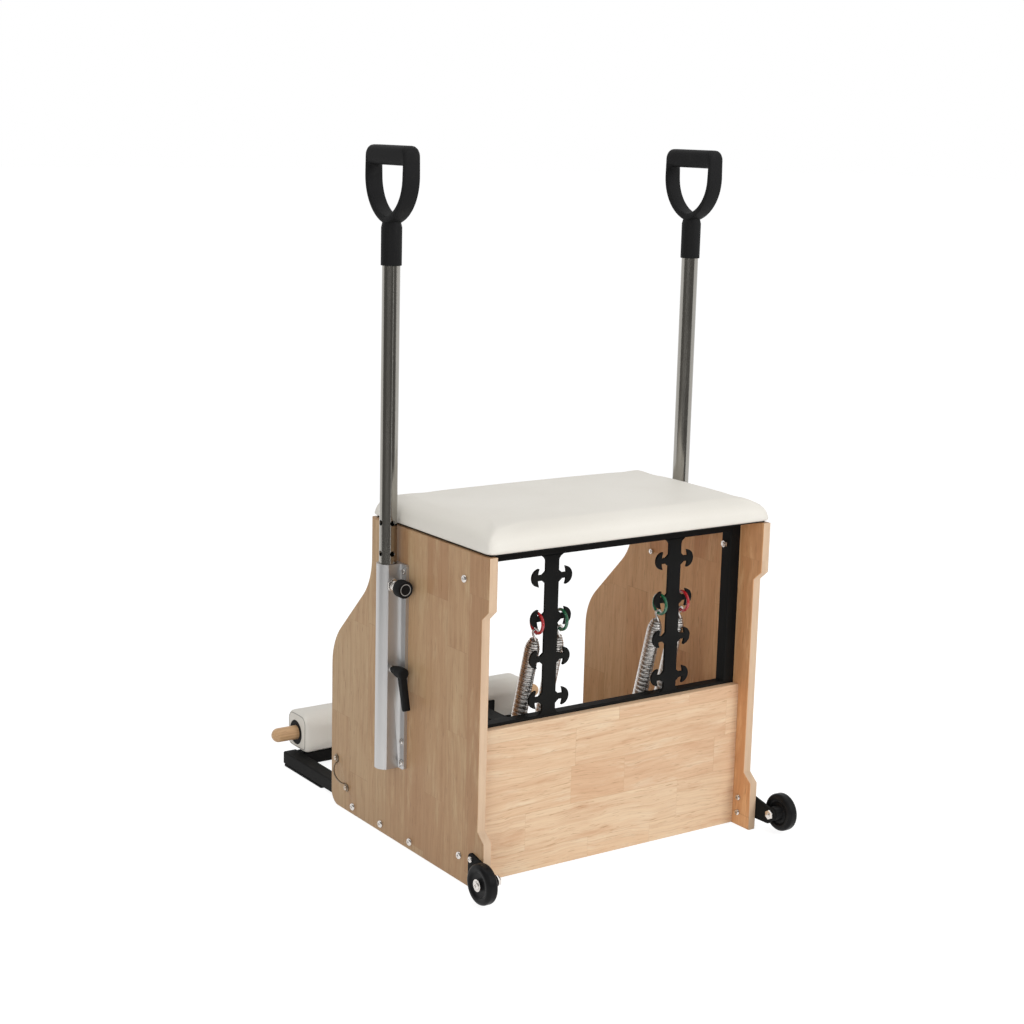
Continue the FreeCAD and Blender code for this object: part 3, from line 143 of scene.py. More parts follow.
def powder_coat():
    material, shader, place = finish("powder_coat", Specular_IOR_Level=0.05)
    speckle = place.noise(1400.0, 2.0)
    cloud = place.noise(9.0, 4.0).between(0.3, 0.75)
    cloud.mix((0.009, 0.009, 0.009, 1), (0.014, 0.014, 0.013, 1)).feed(shader, "Base Color")
    (0.46 + 0.16 * speckle).feed(shader, "Roughness")
    speckle.bump(0.22, 0.0004).feed(shader, "Normal")
    return material


black_coat = powder_coat()


def add_piece(name, mesh, look, body, slot, *replaced):
    """A finished mesh as a piece of the chair: its look, its body and the nodes it replaces; the slot is not
    used.
    """
    mesh.materials.clear()
    mesh.materials.append(look)
    piece = bpy.data.objects.new(name, mesh)
    scene.collection.objects.link(piece)
    if body:
        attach(piece, body)
    if replaced:
        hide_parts(*replaced)
    return piece


def smooth_copy(name, body, slot, look):
    """A CAD node's own shape with its triangles joined, so that its curves shade smoothly."""
    mesh = nodes[name].data.copy()
    mesh.name = name + "_skin"
    shape = bmesh.new()
    shape.from_mesh(mesh)
    bmesh.ops.remove_doubles(shape, verts=shape.verts, dist=0.00001)
    shape.to_mesh(mesh)
    shape.free()
    mesh.shade_smooth()
    mesh.set_sharp_from_angle(angle=math.radians(32))
    piece = add_piece(name + "_skin", mesh, look, body, slot, name)
    even = piece.modifiers.new("even_normals", "WEIGHTED_NORMAL")
    even.keep_sharp = True
    return piece


post_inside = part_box("post_left")[0][0]
rail_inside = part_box("base_rail_left")[0][0]
welded_tubes = ("post_left", "post_right", "top_rail", "low_rail",
                "base_rail_left", "base_rail_right", "front_crossbar")
for name in welded_tubes:
    smooth_copy(name, "frame", "black_steel", black_coat)


# Floor pads, stops and plugs. Rubber strips lie under the front of the base rails, rubber stops
# take the pedals on the crossbar, and moulded plugs close the front ends of the rails.
def soft_black(name, tone, roughness):
    material, shader, place = finish(name, Specular_IOR_Level=0.09)
    grain = place.noise(700.0, 3.0)
    scuff = place.noise(35.0, 5.0).between(0.52, 0.8)
    clean = (tone, tone, 1.03 * tone, 1)
    worn = (1.5 * tone, 1.5 * tone, 1.5 * tone, 1)
    scuff.mix(clean, worn).feed(shader, "Base Color")
    (roughness + 0.14 * grain).feed(shader, "Roughness")
    grain.bump(0.25, 0.0003).feed(shader, "Normal")
    return material


rubber = soft_black("black_rubber", 0.013, 0.58)
for name in ("floor_pads", "pedal_stops"):
    smooth_copy(name, "frame", "black_rubber", rubber)
smooth_copy("tube_plugs", "frame", "black_plastic", rubber)


# Side panels. Boards of rubberwood staves, finger-jointed end to end and glued side by side,
# cut to the S-shaped outline, rounded over and varnished; the staves stand upright.
def stave_wood(name, axes, width, first_row, length, seed, tones, pale, deep, dark, edge, inner):
    """Glued board: staves run along the first axis, in rows across the second one. The cut edges take the
    edge colour, on the upright boards a paler painted light for the key lamp on the rear edge, and the
    faces toward the middle of the chair are brightened by the inner colour, which is painted light."""
    material, shader, place = finish(name, Coat_Roughness=0.35, Coat_Weight=0.05, Specular_IOR_Level=0.25)
    run, side, depth = (place.axis(letter) for letter in axes)
    lane = (side - first_row) / width
    row = lane.maths("FLOOR")
    luck = row.add("TexWhiteNoise", {"noise_dimensions": "1D"}, {"W": row * 1.37 + seed}, "Value")
    strip = row.add("CombineXYZ", None, {"X": run, "Y": row * 7.3 + seed})
    waver = {"Vector": strip, "Scale": 3.5, "Detail": 0.0}
    uneven = strip.add("TexNoise", {"noise_dimensions": "2D"}, waver)
    shifted = run / length + 9.0 * luck + 1.6 * uneven
    cell = shifted.maths("FLOOR")
    key = row.add("CombineXYZ", None, {"X": row, "Y": cell, "Z": seed})
    by_stave = {"noise_dimensions": "3D"}
    tone = key.add("TexWhiteNoise", by_stave, {"Vector": key}, "Value")
    hue = key.add("TexWhiteNoise", by_stave, {"Vector": key.stretched(3.1, 1.7, 2.3)}, "Value")

    sway = place.noise(9.0, 2.0) * 0.016 + run * (hue - 0.5) * 0.10
    moved = {"X": run + 5.0 * tone, "Y": side + 3.0 * hue + sway, "Z": depth + 2.0 * tone}
    own = run.add("CombineXYZ", None, moved)
    wander = own.stretched(2.6, 14.0, 14.0).noise(1.0, 2.0)
    rings = own.axis("Y") * 210.0 + own.axis("Z") * 120.0 + 36.0 * wander
    growth = (rings.maths("SINE") * 0.5 + 0.5).maths("POWER", 3.0) * hue
    blotch = own.stretched(6.5, 34.0, 34.0).noise(1.0, 5.0, 0.68)
    streak = own.stretched(2.6, 110.0, 110.0).noise(1.0, 4.0, 0.6)
    fibre = own.stretched(9.0, 420.0, 420.0).noise(1.0, 5.0, 0.62)
    fleck = own.stretched(34.0, 560.0, 560.0).noise(1.0, 2.0).between(0.62, 0.72)

    stave = tone.add("ValToRGB", {"stops": tones}, {0: tone})
    sunny = (blotch.between(0.50, 0.32) * 0.6).mix(stave, pale)
    ripe = blotch.between(0.52, 0.74) * 0.55 + streak.between(0.44, 0.74) * 0.36 + growth * 0.30
    warm = ripe.mix(sunny, deep)
    fine = (fibre.between(0.42, 0.76) * 0.28 + fleck * 0.55).mix(warm, dark)
    row_gap = lane.maths("FRACT").maths("PINGPONG", 0.5) * width
    end_gap = shifted.maths("FRACT").maths("PINGPONG", 0.5) * length
    joint = 1.0 - row_gap.maths("MINIMUM", end_gap).between(0.0001, 0.0008)
    board = (joint * 0.30).mix(fine, dark)
    # Painted light: faces toward the middle of the chair are multiplied by the inner colour, which brightens
    # them.
    facing = place.add("TexCoord", None, None, "Normal")
    inward = (facing.axis("X") * place.axis("X")).between(-0.05, -0.15)
    light_boost_blend = {"data_type": "RGBA", "blend_type": "MULTIPLY"}
    inner_lit_board = inward.add("Mix", light_boost_blend, {0: inward, 6: board, 7: inner}, 2)
    # Painted light: the cut edges blend to the edge colour, on the upright boards paler where the key lamp
    # falls on the rear edge.
    lit_edge_mask = facing.axis(axes[1]).maths("ABSOLUTE").between(0.55, 0.95)
    (lit_edge_mask * (0.85 - 0.4 * streak)).mix(inner_lit_board, edge).feed(shader, "Base Color")
    (0.36 + 0.18 * fibre).feed(shader, "Roughness")
    (fibre * 0.5 - fleck - joint).bump(0.10, 0.0004).feed(shader, "Normal")
    return material


side_tones = [
    (0.0, (0.505, 0.342, 0.192)),
    (0.35, (0.480, 0.306, 0.165)),
    (0.7, (0.452, 0.273, 0.143)),
    (1.0, (0.402, 0.224, 0.112)),
]
# The edge and inner colours here are painted light: paler cut edges and brighter inner faces.
side_wood = stave_wood(
    "upright_staves", axes="ZYX", width=0.068, first_row=0.030, length=0.30, seed=0.35, tones=side_tones,
    pale=(0.555, 0.400, 0.230, 1), deep=(0.362, 0.192, 0.090, 1), dark=(0.225, 0.110, 0.048, 1),
    edge=(0.80, 0.605, 0.432, 1), inner=(1.55, 1.38, 1.25, 1))
panel_low, panel_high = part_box("side_panel_left")
inner_face = panel_low[0]
outer_face = panel_high[0]
rear_edge = panel_high[1]
hands = {"left": 1, "right": -1}
for side in hands:
    smooth_copy("side_panel_" + side, "frame", "panel_wood", side_wood)

# Rear panel. The same finger-jointed board with its staves laid level, paler and cleaner, fixed
# between the side panels over the lower half of the back.
rear_tones = [
    (0.0, (0.82, 0.635, 0.435)),
    (0.35, (0.78, 0.562, 0.366)),
    (0.7, (0.74, 0.500, 0.318)),
    (1.0, (0.675, 0.422, 0.250)),
]
rear_wood = stave_wood(
    "level_staves", axes="XZY", width=0.071, first_row=0.041, length=0.24, seed=0.62, tones=rear_tones,
    pale=(0.85, 0.700, 0.505, 1), deep=(0.62, 0.358, 0.208, 1), dark=(0.41, 0.218, 0.110, 1),
    edge=(0.78, 0.562, 0.366, 1), inner=(1, 1, 1, 1))
smooth_copy("rear_panel", "frame", "rear_wood", rear_wood)


# Panel bolts. Bright zinc-plated pan heads with a cross recess sit on the outside, and hexagon
# nuts with a little thread showing on the inside; the sleeves' screws are of the same make.
def plated(name, tone, warmth, roughness, spread):
    material, shader, place = finish(name, Metallic=1.0)
    mottle = place.noise(260.0, 4.0)
    bright = (tone, tone * (1 - 0.5 * warmth), tone * (1 - warmth), 1)
    dull = tuple(0.8 * part for part in bright[:3]) + (1,)
    mottle.mix(bright, dull).feed(shader, "Base Color")
    (roughness + spread * mottle).feed(shader, "Roughness")
    return material


zinc = plated("bright_zinc", 0.78, 0.10, 0.16, 0.16)


def grow(shape, rim):
    """Extrude an open rim, and return the new vertices and the new rim."""
    made = bmesh.ops.extrude_edge_only(shape, edges=rim)["geom"]
    verts = [item for item in made if isinstance(item, bmesh.types.BMVert)]
    kept = set(verts)
    edges = [item for item in made if isinstance(item, bmesh.types.BMEdge) and kept.issuperset(item.verts)]
    return verts, edges


def pan_head(radius, height):
    """Pan head along +Z with its base at the origin: a grid rounded to a disc, its cross pressed in."""
    shape = bmesh.new()
    bmesh.ops.create_grid(shape, x_segments=9, y_segments=9, size=1.0)
    flat_radius = radius * 0.62
    for vert in shape.verts:
        x, y = vert.co.x, vert.co.y
        vert.co = Vector((x * math.sqrt(1 - y * y / 2), y * math.sqrt(1 - x * x / 2), 0)) * flat_radius
    arm = radius * 0.10
    reach = radius * 0.44
    cross = []
    for face in shape.faces:
        centre = face.calc_center_median()
        near, far = sorted((abs(centre.x), abs(centre.y)))
        if near < arm and far < reach:
            cross.append(face)
    pressed = bmesh.ops.extrude_face_region(shape, geom=cross)
    bmesh.ops.delete(shape, geom=cross, context="FACES_ONLY")
    sunk = [item for item in pressed["geom"] if isinstance(item, bmesh.types.BMVert)]
    bmesh.ops.translate(shape, verts=sunk, vec=(0, 0, -0.5 * height))
    rim = [edge for edge in shape.edges if edge.is_boundary]
    for spread, drop in ((1.30, 0.08), (1.16, 0.20), (1.07, 0.40), (1.0, 0.32)):
        ring, rim = grow(shape, rim)
        bmesh.ops.scale(shape, verts=ring, vec=(spread, spread, 1))
        bmesh.ops.translate(shape, verts=ring, vec=(0, 0, -drop * height))
    bmesh.ops.translate(shape, verts=shape.verts, vec=(0, 0, height))
    return shape


def rod(shape, sides, radius, depth):
    """Add a closed cylinder or prism along Z, centred on the origin, and return its vertices."""
    made = bmesh.ops.create_cone(shape, cap_ends=True, segments=sides, radius1=radius, radius2=radius,
                                 depth=depth)
    return made["verts"]


def round_edges(shape, chosen, radius, segments):
    """Round the edges whose two ends pass a test."""
    picked = [edge for edge in shape.edges if chosen(edge.verts[0].co, edge.verts[1].co)]
    bmesh.ops.bevel(shape, geom=picked, offset=radius, segments=segments, profile=0.5, affect="EDGES",
                    material=-1)


tiny = 1e-6


def hex_nut(across_flats, thickness, thread):
    """Nut along +Z with its seat at the origin, chamfered, with the bolt's end standing out of it."""
    shape = bmesh.new()
    body = rod(shape, 6, across_flats / math.sqrt(3), thickness)
    bmesh.ops.translate(shape, verts=body, vec=(0, 0, thickness / 2))
    round_edges(shape, lambda a, b: abs(a.z - b.z) < tiny, 0.10 * across_flats, 2)
    stud = rod(shape, 20, thread, 0.5 * thickness)
    bmesh.ops.translate(shape, verts=stud, vec=(0, 0, 1.1 * thickness))
    round_edges(shape, lambda a, b: min(a.z, b.z) > 1.34 * thickness, 0.18 * thread, 2)
    return shape


def toward(point, way):
    """Matrix that takes +Z to the given direction at the given point."""
    return Matrix.Translation(point) @ Vector(way).to_track_quat("Z", "Y").to_matrix().to_4x4()


def as_mesh(name, shape):
    """The finished shape as a mesh; the shape itself is let go."""
    mesh = bpy.data.meshes.new(name)
    shape.to_mesh(mesh)
    shape.free()
    return mesh


def gather(name, shapes, look, body, slot, *replaced):
    """Join placed shapes into one finished piece."""
    whole = bmesh.new()
    for shape, matrix in shapes:
        part = bpy.data.meshes.new("part")
        shape.to_mesh(part)
        part.transform(matrix)
        whole.from_mesh(part)
        bpy.data.meshes.remove(part)
    bmesh.ops.recalc_face_normals(whole, faces=whole.faces)
    mesh = as_mesh(name, whole)
    mesh.shade_smooth()
    mesh.set_sharp_from_angle(angle=math.radians(38))
    return add_piece(name, mesh, look, body, slot, *replaced)


bolt_head = pan_head(0.0072, 0.0045)
bolt_nut = hex_nut(0.013, 0.0065, 0.004)
post_bolt_depth = 0.0745
post_bolt_heights = (0.550, 0.049)
rail_bolt_depth = 0.242
rail_bolt_pitch = 0.1055
rail_bolt_height = 0.017
bolt_spots = [(post_bolt_depth, height, post_inside) for height in post_bolt_heights]
for step in range(3):
    bolt_spots.append((rail_bolt_depth + rail_bolt_pitch * step, rail_bolt_height, rail_inside))
bolts = []
for sign in hands.values():
    for depth, height, nut_seat in bolt_spots:
        y = rear_edge - depth
        bolts.append((bolt_head, toward((sign * outer_face, y, height), (sign, 0, 0))))
        bolts.append((bolt_nut, toward((sign * nut_seat, y, height), (-sign, 0, 0))))
gather("bolts", bolts, zinc, "frame", "bright_steel", "panel_bolts")

# Spring trees. Two upright steel plates, cut with pairs of crescent hooks, welded between the
# top and the low rail and coated with them.
for side in hands:
    smooth_copy("spring_tree_" + side, "frame", "black_steel", black_coat)

# Pivot. A ground shaft across the chair in two welded brackets, with clamp collars beside the
# pedal hubs.
turned_steel = plated("turned_steel", 0.55, 0.06, 0.22, 0.14)
smooth_copy("pivot_shaft", "frame", "shaft_steel", turned_steel)
smooth_copy("shaft_collars", "frame", "shaft_steel", turned_steel)
for side in hands:
    smooth_copy("pivot_bracket_" + side, "frame", "black_steel", black_coat)

# Pedal frames. A welded arm from the pivot tube to the pad's bracket, with the spring bar on two
# lugs near the pivot, coated black like the frame.
for side in hands:
    smooth_copy("pedal_frame_" + side, "pedal_" + side, "black_steel", black_coat)


# Pedal pads. A leather cover pulled over foam on a wooden core, square in section with round
# top edges, its end pieces sewn in and a black bush sunk in each outer end.
def cream_leather():
    material, shader, place = finish("cream_leather", Specular_IOR_Level=0.38)
    cells = {"Vector": place, "Scale": 620.0, "Smoothness": 0.7}
    pebble = place.add("TexVoronoi", {"feature": "SMOOTH_F1"}, cells)
    crease = place.noise(240.0, 5.0, 0.6)
    cloud = place.noise(5.0, 3.0)
    hide = cloud.between(0.3, 0.7).mix((0.745, 0.712, 0.645, 1), (0.785, 0.754, 0.690, 1))
    (crease.between(0.5, 0.8) * 0.12).mix(hide, (0.60, 0.56, 0.49, 1)).feed(shader, "Base Color")
    (0.40 + 0.14 * crease + 0.06 * pebble).feed(shader, "Roughness")
    (pebble * 0.6 + crease * 0.5).bump(0.14, 0.0005).feed(shader, "Normal")
    return material


leather = cream_leather()


def drawn_box(low, high, draw):
    """Closed box between two corners, drawn in by a margin on every side."""
    shape = bmesh.new()
    bmesh.ops.create_cube(shape, size=1.0)
    size = [top - bottom - 2 * draw for bottom, top in zip(low, high)]
    middle = [(top + bottom) / 2 for bottom, top in zip(low, high)]
    bmesh.ops.scale(shape, verts=shape.verts, vec=size)
    bmesh.ops.translate(shape, verts=shape.verts, vec=middle)
    return shape


def relax(shape):
    """Smooth a cover once, in all directions."""
    bmesh.ops.smooth_vert(shape, verts=shape.verts, factor=0.5, use_axis_x=True, use_axis_y=True,
                          use_axis_z=True)


def kept_inside(point, low, high):
    """The point, brought back into a box where it lies outside."""
    return Vector([min(max(value, least), most) for value, least, most in zip(point, low, high)])


cloth_frames = 20


def puffed(name, shape, voxel, pressure, cap, held):
    """Stuffed cover: the shape is remeshed evenly and blown up as cloth; no point moves past the cap,
    and the points that the test holds stay where they are."""
    mesh = as_mesh(name, shape)
    cover = bpy.data.objects.new(name, mesh)
    scene.collection.objects.link(cover)
    remesh = cover.modifiers.new("remesh", "REMESH")
    remesh.mode = "VOXEL"
    remesh.voxel_size = voxel
    even = bpy.data.meshes.new_from_object(cover.evaluated_get(bpy.context.evaluated_depsgraph_get()))
    cover.modifiers.clear()
    cover.data = even
    bpy.data.meshes.remove(mesh)
    start = [vert.co.copy() for vert in even.vertices]
    pins = cover.vertex_groups.new(name="held")
    pins.add([vert.index for vert in even.vertices if held(vert.co)], 1.0, "ADD")
    cloth = cover.modifiers.new("cloth", "CLOTH")
    cloth.settings.use_pressure = True
    cloth.settings.uniform_pressure_force = pressure
    cloth.settings.effector_weights.gravity = 0.0
    cloth.settings.vertex_group_mass = "held"
    cloth.settings.quality = 6
    cloth.settings.tension_stiffness = 25.0
    cloth.settings.compression_stiffness = 25.0
    cloth.settings.bending_stiffness = 2.0
    cloth.point_cache.frame_start = 1
    cloth.point_cache.frame_end = cloth_frames
    for number in range(1, cloth_frames + 1):
        scene.frame_set(number)
    blown = bpy.data.meshes.new_from_object(cover.evaluated_get(bpy.context.evaluated_depsgraph_get()))
    cover.modifiers.clear()
    cover.vertex_groups.clear()
    cover.data = blown
    bpy.data.meshes.remove(even)
    scene.frame_set(1)
    for vert, home in zip(blown.vertices, start):
        move = vert.co - home
        if move.length > cap:
            vert.co = home + move * (cap / move.length)
    done = bmesh.new()
    done.from_mesh(cover.data)
    for turn in range(3):
        relax(done)
    left_over = cover.data
    bpy.data.objects.remove(cover)
    bpy.data.meshes.remove(left_over)
    return done


def sweep(points, radius, sides, closed=False):
    """Round tube along a line of points: one ring of vertices carried from point to point."""
    shape = bmesh.new()
    count = len(points)
    ways = []
    for place in range(count):
        after = points[(place + 1) % count] if closed else points[min(place + 1, count - 1)]
        before = points[place - 1] if closed else points[max(place - 1, 0)]
        ways.append((after - before).normalized())
    made = bmesh.ops.create_circle(shape, cap_ends=not closed, segments=sides, radius=radius)
    bmesh.ops.transform(shape, matrix=toward(points[0], ways[0]), verts=made["verts"])
    first = list(shape.edges)
    ring = first
    for place in range(1, count):
        verts, ring = grow(shape, ring)
        bmesh.ops.translate(shape, verts=verts, vec=points[place] - points[place - 1])
        twist = ways[place - 1].rotation_difference(ways[place])
        bmesh.ops.rotate(shape, verts=verts, cent=points[place], matrix=twist.to_matrix())
    if closed:
        bmesh.ops.bridge_loops(shape, edges=ring + first)
    else:
        bmesh.ops.contextual_create(shape, geom=ring)
    bmesh.ops.recalc_face_normals(shape, faces=shape.faces)
    return shape


def seam_round(shape, x, middle, radius):
    """Tube that lies on the cover where it crosses the given X, as the sewn edge of an end piece."""
    tree = BVHTree.FromBMesh(shape)
    outside = 0.2
    sunk = 0.35 * radius
    steps = 140
    points = []
    for step in range(steps):
        angle = 2 * math.pi * step / steps
        way = Vector((0, math.cos(angle), math.sin(angle)))
        hit = tree.ray_cast(Vector((x, middle.y, middle.z)) + outside * way, -way)[0]
        points.append(hit - sunk * way)
    return sweep(points, radius, 8, True)


def open_end(shape, end, inward, middle, radius, depth):
    """Round hole in an end of the cover, its edge turned in."""
    face_reach = 0.008
    edge_reach = 0.010
    half_lip = 0.0006
    first_fold = 0.0012
    inside = []
    for face in shape.faces:
        centre = face.calc_center_median()
        off_axis = math.hypot(centre.y - middle.y, centre.z - middle.z)
        if off_axis < radius and abs(centre.x - end) < face_reach:
            inside.append(face)
    bmesh.ops.delete(shape, geom=inside, context="FACES")
    rim = [edge for edge in shape.edges if edge.is_boundary and abs(edge.verts[0].co.x - end) < edge_reach]
    for vert in {vert for edge in rim for vert in edge.verts}:
        spoke = Vector((0, vert.co.y - middle.y, vert.co.z - middle.z)).normalized()
        vert.co = Vector((vert.co.x, middle.y, middle.z)) + (radius + half_lip) * spoke
    for sunk in (first_fold, depth):
        verts, rim = grow(shape, rim)
        for vert in verts:
            spoke = Vector((0, vert.co.y - middle.y, vert.co.z - middle.z)).normalized()
            vert.co = Vector((end + inward * sunk, middle.y, middle.z)) + (radius - half_lip) * spoke


def seam_thread():
    material, shader, place = finish("seam_leather", Specular_IOR_Level=0.3, Roughness=0.6)
    ply = place.noise(900.0, 2.0)
    ply.mix((0.34, 0.325, 0.295, 1), (0.46, 0.44, 0.40, 1)).feed(shader, "Base Color")
    ply.bump(0.3, 0.0003).feed(shader, "Normal")
    return material


thread = seam_thread()
bush_radius = 0.0262
bush_sink = 0.011
dowel_room = 0.0158
dowel_sink = 0.012
pad_swell = 0.003
pad_voxel = 0.004
foam_pressure = 3.0
top_round = 0.020
bottom_round = 0.008
end_round = 0.005
long_edge = 0.1
seam_inset = 0.0045
seam_radius = 0.0009
dowel_low, dowel_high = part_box("linking_dowel")
middle = (Vector(dowel_low) + Vector(dowel_high)) / 2
for side, sign in hands.items():
    low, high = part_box("pedal_pad_" + side)
    top = high[2] - pad_swell - tiny
    bottom = low[2] + pad_swell + tiny
    block = drawn_box(low, high, pad_swell)
    round_edges(block, lambda a, b: abs(a.x - b.x) > long_edge and min(a.z, b.z) > top, top_round, 6)
    round_edges(block, lambda a, b: abs(a.x - b.x) > long_edge and max(a.z, b.z) < bottom, bottom_round, 4)
    round_edges(block, lambda a, b: abs(a.x - b.x) < tiny, end_round, 3)
    cover = puffed("pad_cover", block, pad_voxel, foam_pressure, pad_swell, lambda co: False)
    bmesh.ops.subdivide_edges(cover, edges=cover.edges, cuts=1, use_grid_fill=True)
    relax(cover)
    for vert in cover.verts:
        vert.co = kept_inside(vert.co, low, high)
    outer_end = sign * max(abs(low[0]), abs(high[0]))
    inner_end = sign * min(abs(low[0]), abs(high[0]))
    seams = []
    for end, inward in ((outer_end, -sign), (inner_end, sign)):
        seams.append((seam_round(cover, end + seam_inset * inward, middle, seam_radius), Matrix.Identity(4)))
    open_end(cover, outer_end, -sign, middle, bush_radius, bush_sink)
    open_end(cover, inner_end, sign, middle, dowel_room, dowel_sink)
    bmesh.ops.bridge_loops(cover, edges=[edge for edge in cover.edges if edge.is_boundary])
    bmesh.ops.recalc_face_normals(cover, faces=cover.faces)
    mesh = as_mesh("pad_" + side, cover)
    mesh.shade_smooth()
    pad = add_piece("pad_" + side, mesh, leather, "pedal_" + side, "seat_leather", "pedal_pad_" + side)
    gather("pad_seams_" + side, seams, thread, "pedal_" + side, "seat_leather")
    smooth_copy("pad_bush_" + side, "pedal_" + side, "black_plastic", rubber)


# Linking dowel and the wooden cores of the pads. The dowel is a varnished beech rod with round
# ends that slides through both pads and couples the pedals.
def dowel_look():
    material, shader, place = finish("beech_rod", Coat_Weight=0.1, Coat_Roughness=0.3,
                                     Specular_IOR_Level=0.35)
    fleck = place.stretched(60.0, 900.0, 900.0).noise(1.0, 2.0).between(0.58, 0.72)
    grain = place.stretched(6.0, 260.0, 260.0).noise(1.0, 4.0, 0.6)
    wood = grain.between(0.3, 0.75).mix((0.66, 0.430, 0.235, 1), (0.52, 0.300, 0.145, 1))
    (fleck * 0.45).mix(wood, (0.34, 0.175, 0.08, 1)).feed(shader, "Base Color")
    (0.34 + 0.14 * grain).feed(shader, "Roughness")
    (grain - fleck).bump(0.08, 0.0003).feed(shader, "Normal")
    return material


beech = dowel_look()
smooth_copy("linking_dowel", "dowel", "dowel_wood", beech)
for side in hands:
    smooth_copy("pedal_core_" + side, "pedal_" + side, "board_wood", beech)

# Springs. Close-wound steel extension springs, coned in at both ends, one hook over the pedal's
# spring bar and the other through a ring, which hangs on the tree in line with the spring.
spring_steel = plated("spring_wire", 0.78, 0.07, 0.27, 0.06)
wire = 0.0021
ring_wire = 0.003
ring_radius = 0.018
bar_radius = 0.007
hook_gap = 0.0003
hook_arc = math.radians(250)
hook_steps = 13
foot_reach = 0.022
foot_steps = 5
head_reach = 0.014
head_steps = 7
coil_turns = 69
cone_turns = 5
steps_per_turn = 18
wide = 0.0119
narrow = 0.0050
bar_depth = 0.160
bar_height = 0.104
hook_depth = 0.0645
hook_height = 0.4682
bar = Vector((0, rear_edge - bar_depth, bar_height))
hook = Vector((0, rear_edge - hook_depth, hook_height))
along = (hook - bar).normalized()
across = Vector((1, 0, 0))
beside = along.cross(across)
ring_middle = hook - along * (ring_radius - ring_wire)
ring_foot = ring_middle - along * ring_radius
length = (ring_foot - bar).length
bar_hook = bar_radius + wire + hook_gap
ring_hook = ring_wire + wire + hook_gap
coil_stop = length - head_reach
line = []
for step in range(hook_steps + 1):
    angle = hook_arc * (step / hook_steps - 1)
    line.append(bar + bar_hook * (math.cos(angle) * beside + math.sin(angle) * along))
for step in range(1, foot_steps):
    share = step / foot_steps
    line.append(bar + (bar_hook + (narrow - bar_hook) * share) * beside + along * foot_reach * share)
for step in range(coil_turns * steps_per_turn + 1):
    turn = step / steps_per_turn
    ramp = min(1.0, turn / cone_turns, (coil_turns - turn) / cone_turns)
    radius = narrow + (wide - narrow) * math.sin(ramp * math.pi / 2)
    angle = 2 * math.pi * turn
    climb = foot_reach + (coil_stop - foot_reach) * turn / coil_turns
    line.append(bar + radius * (math.cos(angle) * beside + math.sin(angle) * across) + along * climb)
for step in range(1, head_steps + 1):
    share = step / head_steps
    way = (beside * (1 - share) + across * share).normalized()
    offset = narrow + (ring_hook - narrow) * share
    line.append(bar + offset * way + along * (coil_stop + (length - coil_stop) * share))
for step in range(1, hook_steps + 1):
    angle = hook_arc * step / hook_steps
    line.append(ring_foot + ring_hook * (math.cos(angle) * across + math.sin(angle) * along))
coil = sweep(line, wire, 8)
bend_share = 0.5
bend_start = ring_foot.lerp(bar, bend_share)
spring_rows = {"outer": 0.164, "inner": 0.112}
for side, sign in hands.items():
    for row, x in spring_rows.items():
        node = f"spring_{row}_{side}"
        shift = Vector((sign * x, 0, 0))
        placed = [(coil, Matrix.Translation(shift))]
        piece = gather(node + "_coil", placed, spring_steel, None, "spring_steel", node)
        bend_start + shift
        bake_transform(piece)


# Spring rings. Round steel rings dipped in enamel, red on the outer springs and green on the
# inner ones, with small worn spots.
def enamel(name, colour):
    material, shader, place = finish(name, Coat_Weight=0.8, Coat_Roughness=0.08, Specular_IOR_Level=0.6)
    wear = place.noise(300.0, 4.0).between(0.62, 0.78)
    wear.mix((*colour, 1), (0.5, 0.48, 0.46, 1)).feed(shader, "Base Color")
    (0.22 + 0.2 * wear).feed(shader, "Roughness")
    return material


ring_steps = 48
line = []
for step in range(ring_steps):
    angle = 2 * math.pi * step / ring_steps
    line.append(ring_middle + ring_radius * (math.cos(angle) * along + math.sin(angle) * beside))
hoop = sweep(line, ring_wire, 12, True)
ring_colours = {
    "outer": ("ring_red", (0.40, 0.010, 0.018)),
    "inner": ("ring_green", (0.008, 0.11, 0.05)),
}
for row, (slot, colour) in ring_colours.items():
    pair = [(hoop, Matrix.Translation((sign * spring_rows[row], 0, 0))) for sign in hands.values()]
    gather("rings_" + row, pair, enamel(slot + "_enamel", colour), "frame", slot, "spring_rings_" + row)


# Pole sleeves. Anodised aluminium extrusions with a domed outside, a round bore for the pole and
# two flanges, screwed through the side panels.
def extruded_aluminium():
    material, shader, place = finish("anodised_aluminium", Metallic=0.85)
    drawn = place.stretched(700.0, 700.0, 4.0).noise(1.0, 3.0)
    cloud = place.noise(14.0, 3.0)
    cloud.mix((0.575, 0.566, 0.562, 1), (0.515, 0.508, 0.503, 1)).feed(shader, "Base Color")
    (0.34 + 0.12 * drawn).feed(shader, "Roughness")
    drawn.bump(0.06, 0.0003).feed(shader, "Normal")
    return material


aluminium = extruded_aluminium()
flange_face = 0.319
flange_head = pan_head(0.0055, 0.0035)
flange_nut = hex_nut(0.010, 0.005, 0.003)
flange_reach = 0.029
flange_heights = (0.164, 0.204, 0.482, 0.522)
pole_low, pole_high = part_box("pole_left")
pole_x = (pole_low[0] + pole_high[0]) / 2
pole_y = (pole_low[1] + pole_high[1]) / 2
screws = []
for side, sign in hands.items():
    smooth_copy("pole_sleeve_" + side, "frame", "sleeve_aluminium", aluminium)
    for y in (pole_y - flange_reach, pole_y + flange_reach):
        for height in flange_heights:
            screws.append((flange_head, toward((sign * flange_face, y, height), (sign, 0, 0))))
            screws.append((flange_nut, toward((sign * inner_face, y, height), (-sign, 0, 0))))
gather("flange_screws", screws, zinc, "frame", "bright_steel", "sleeve_screws")


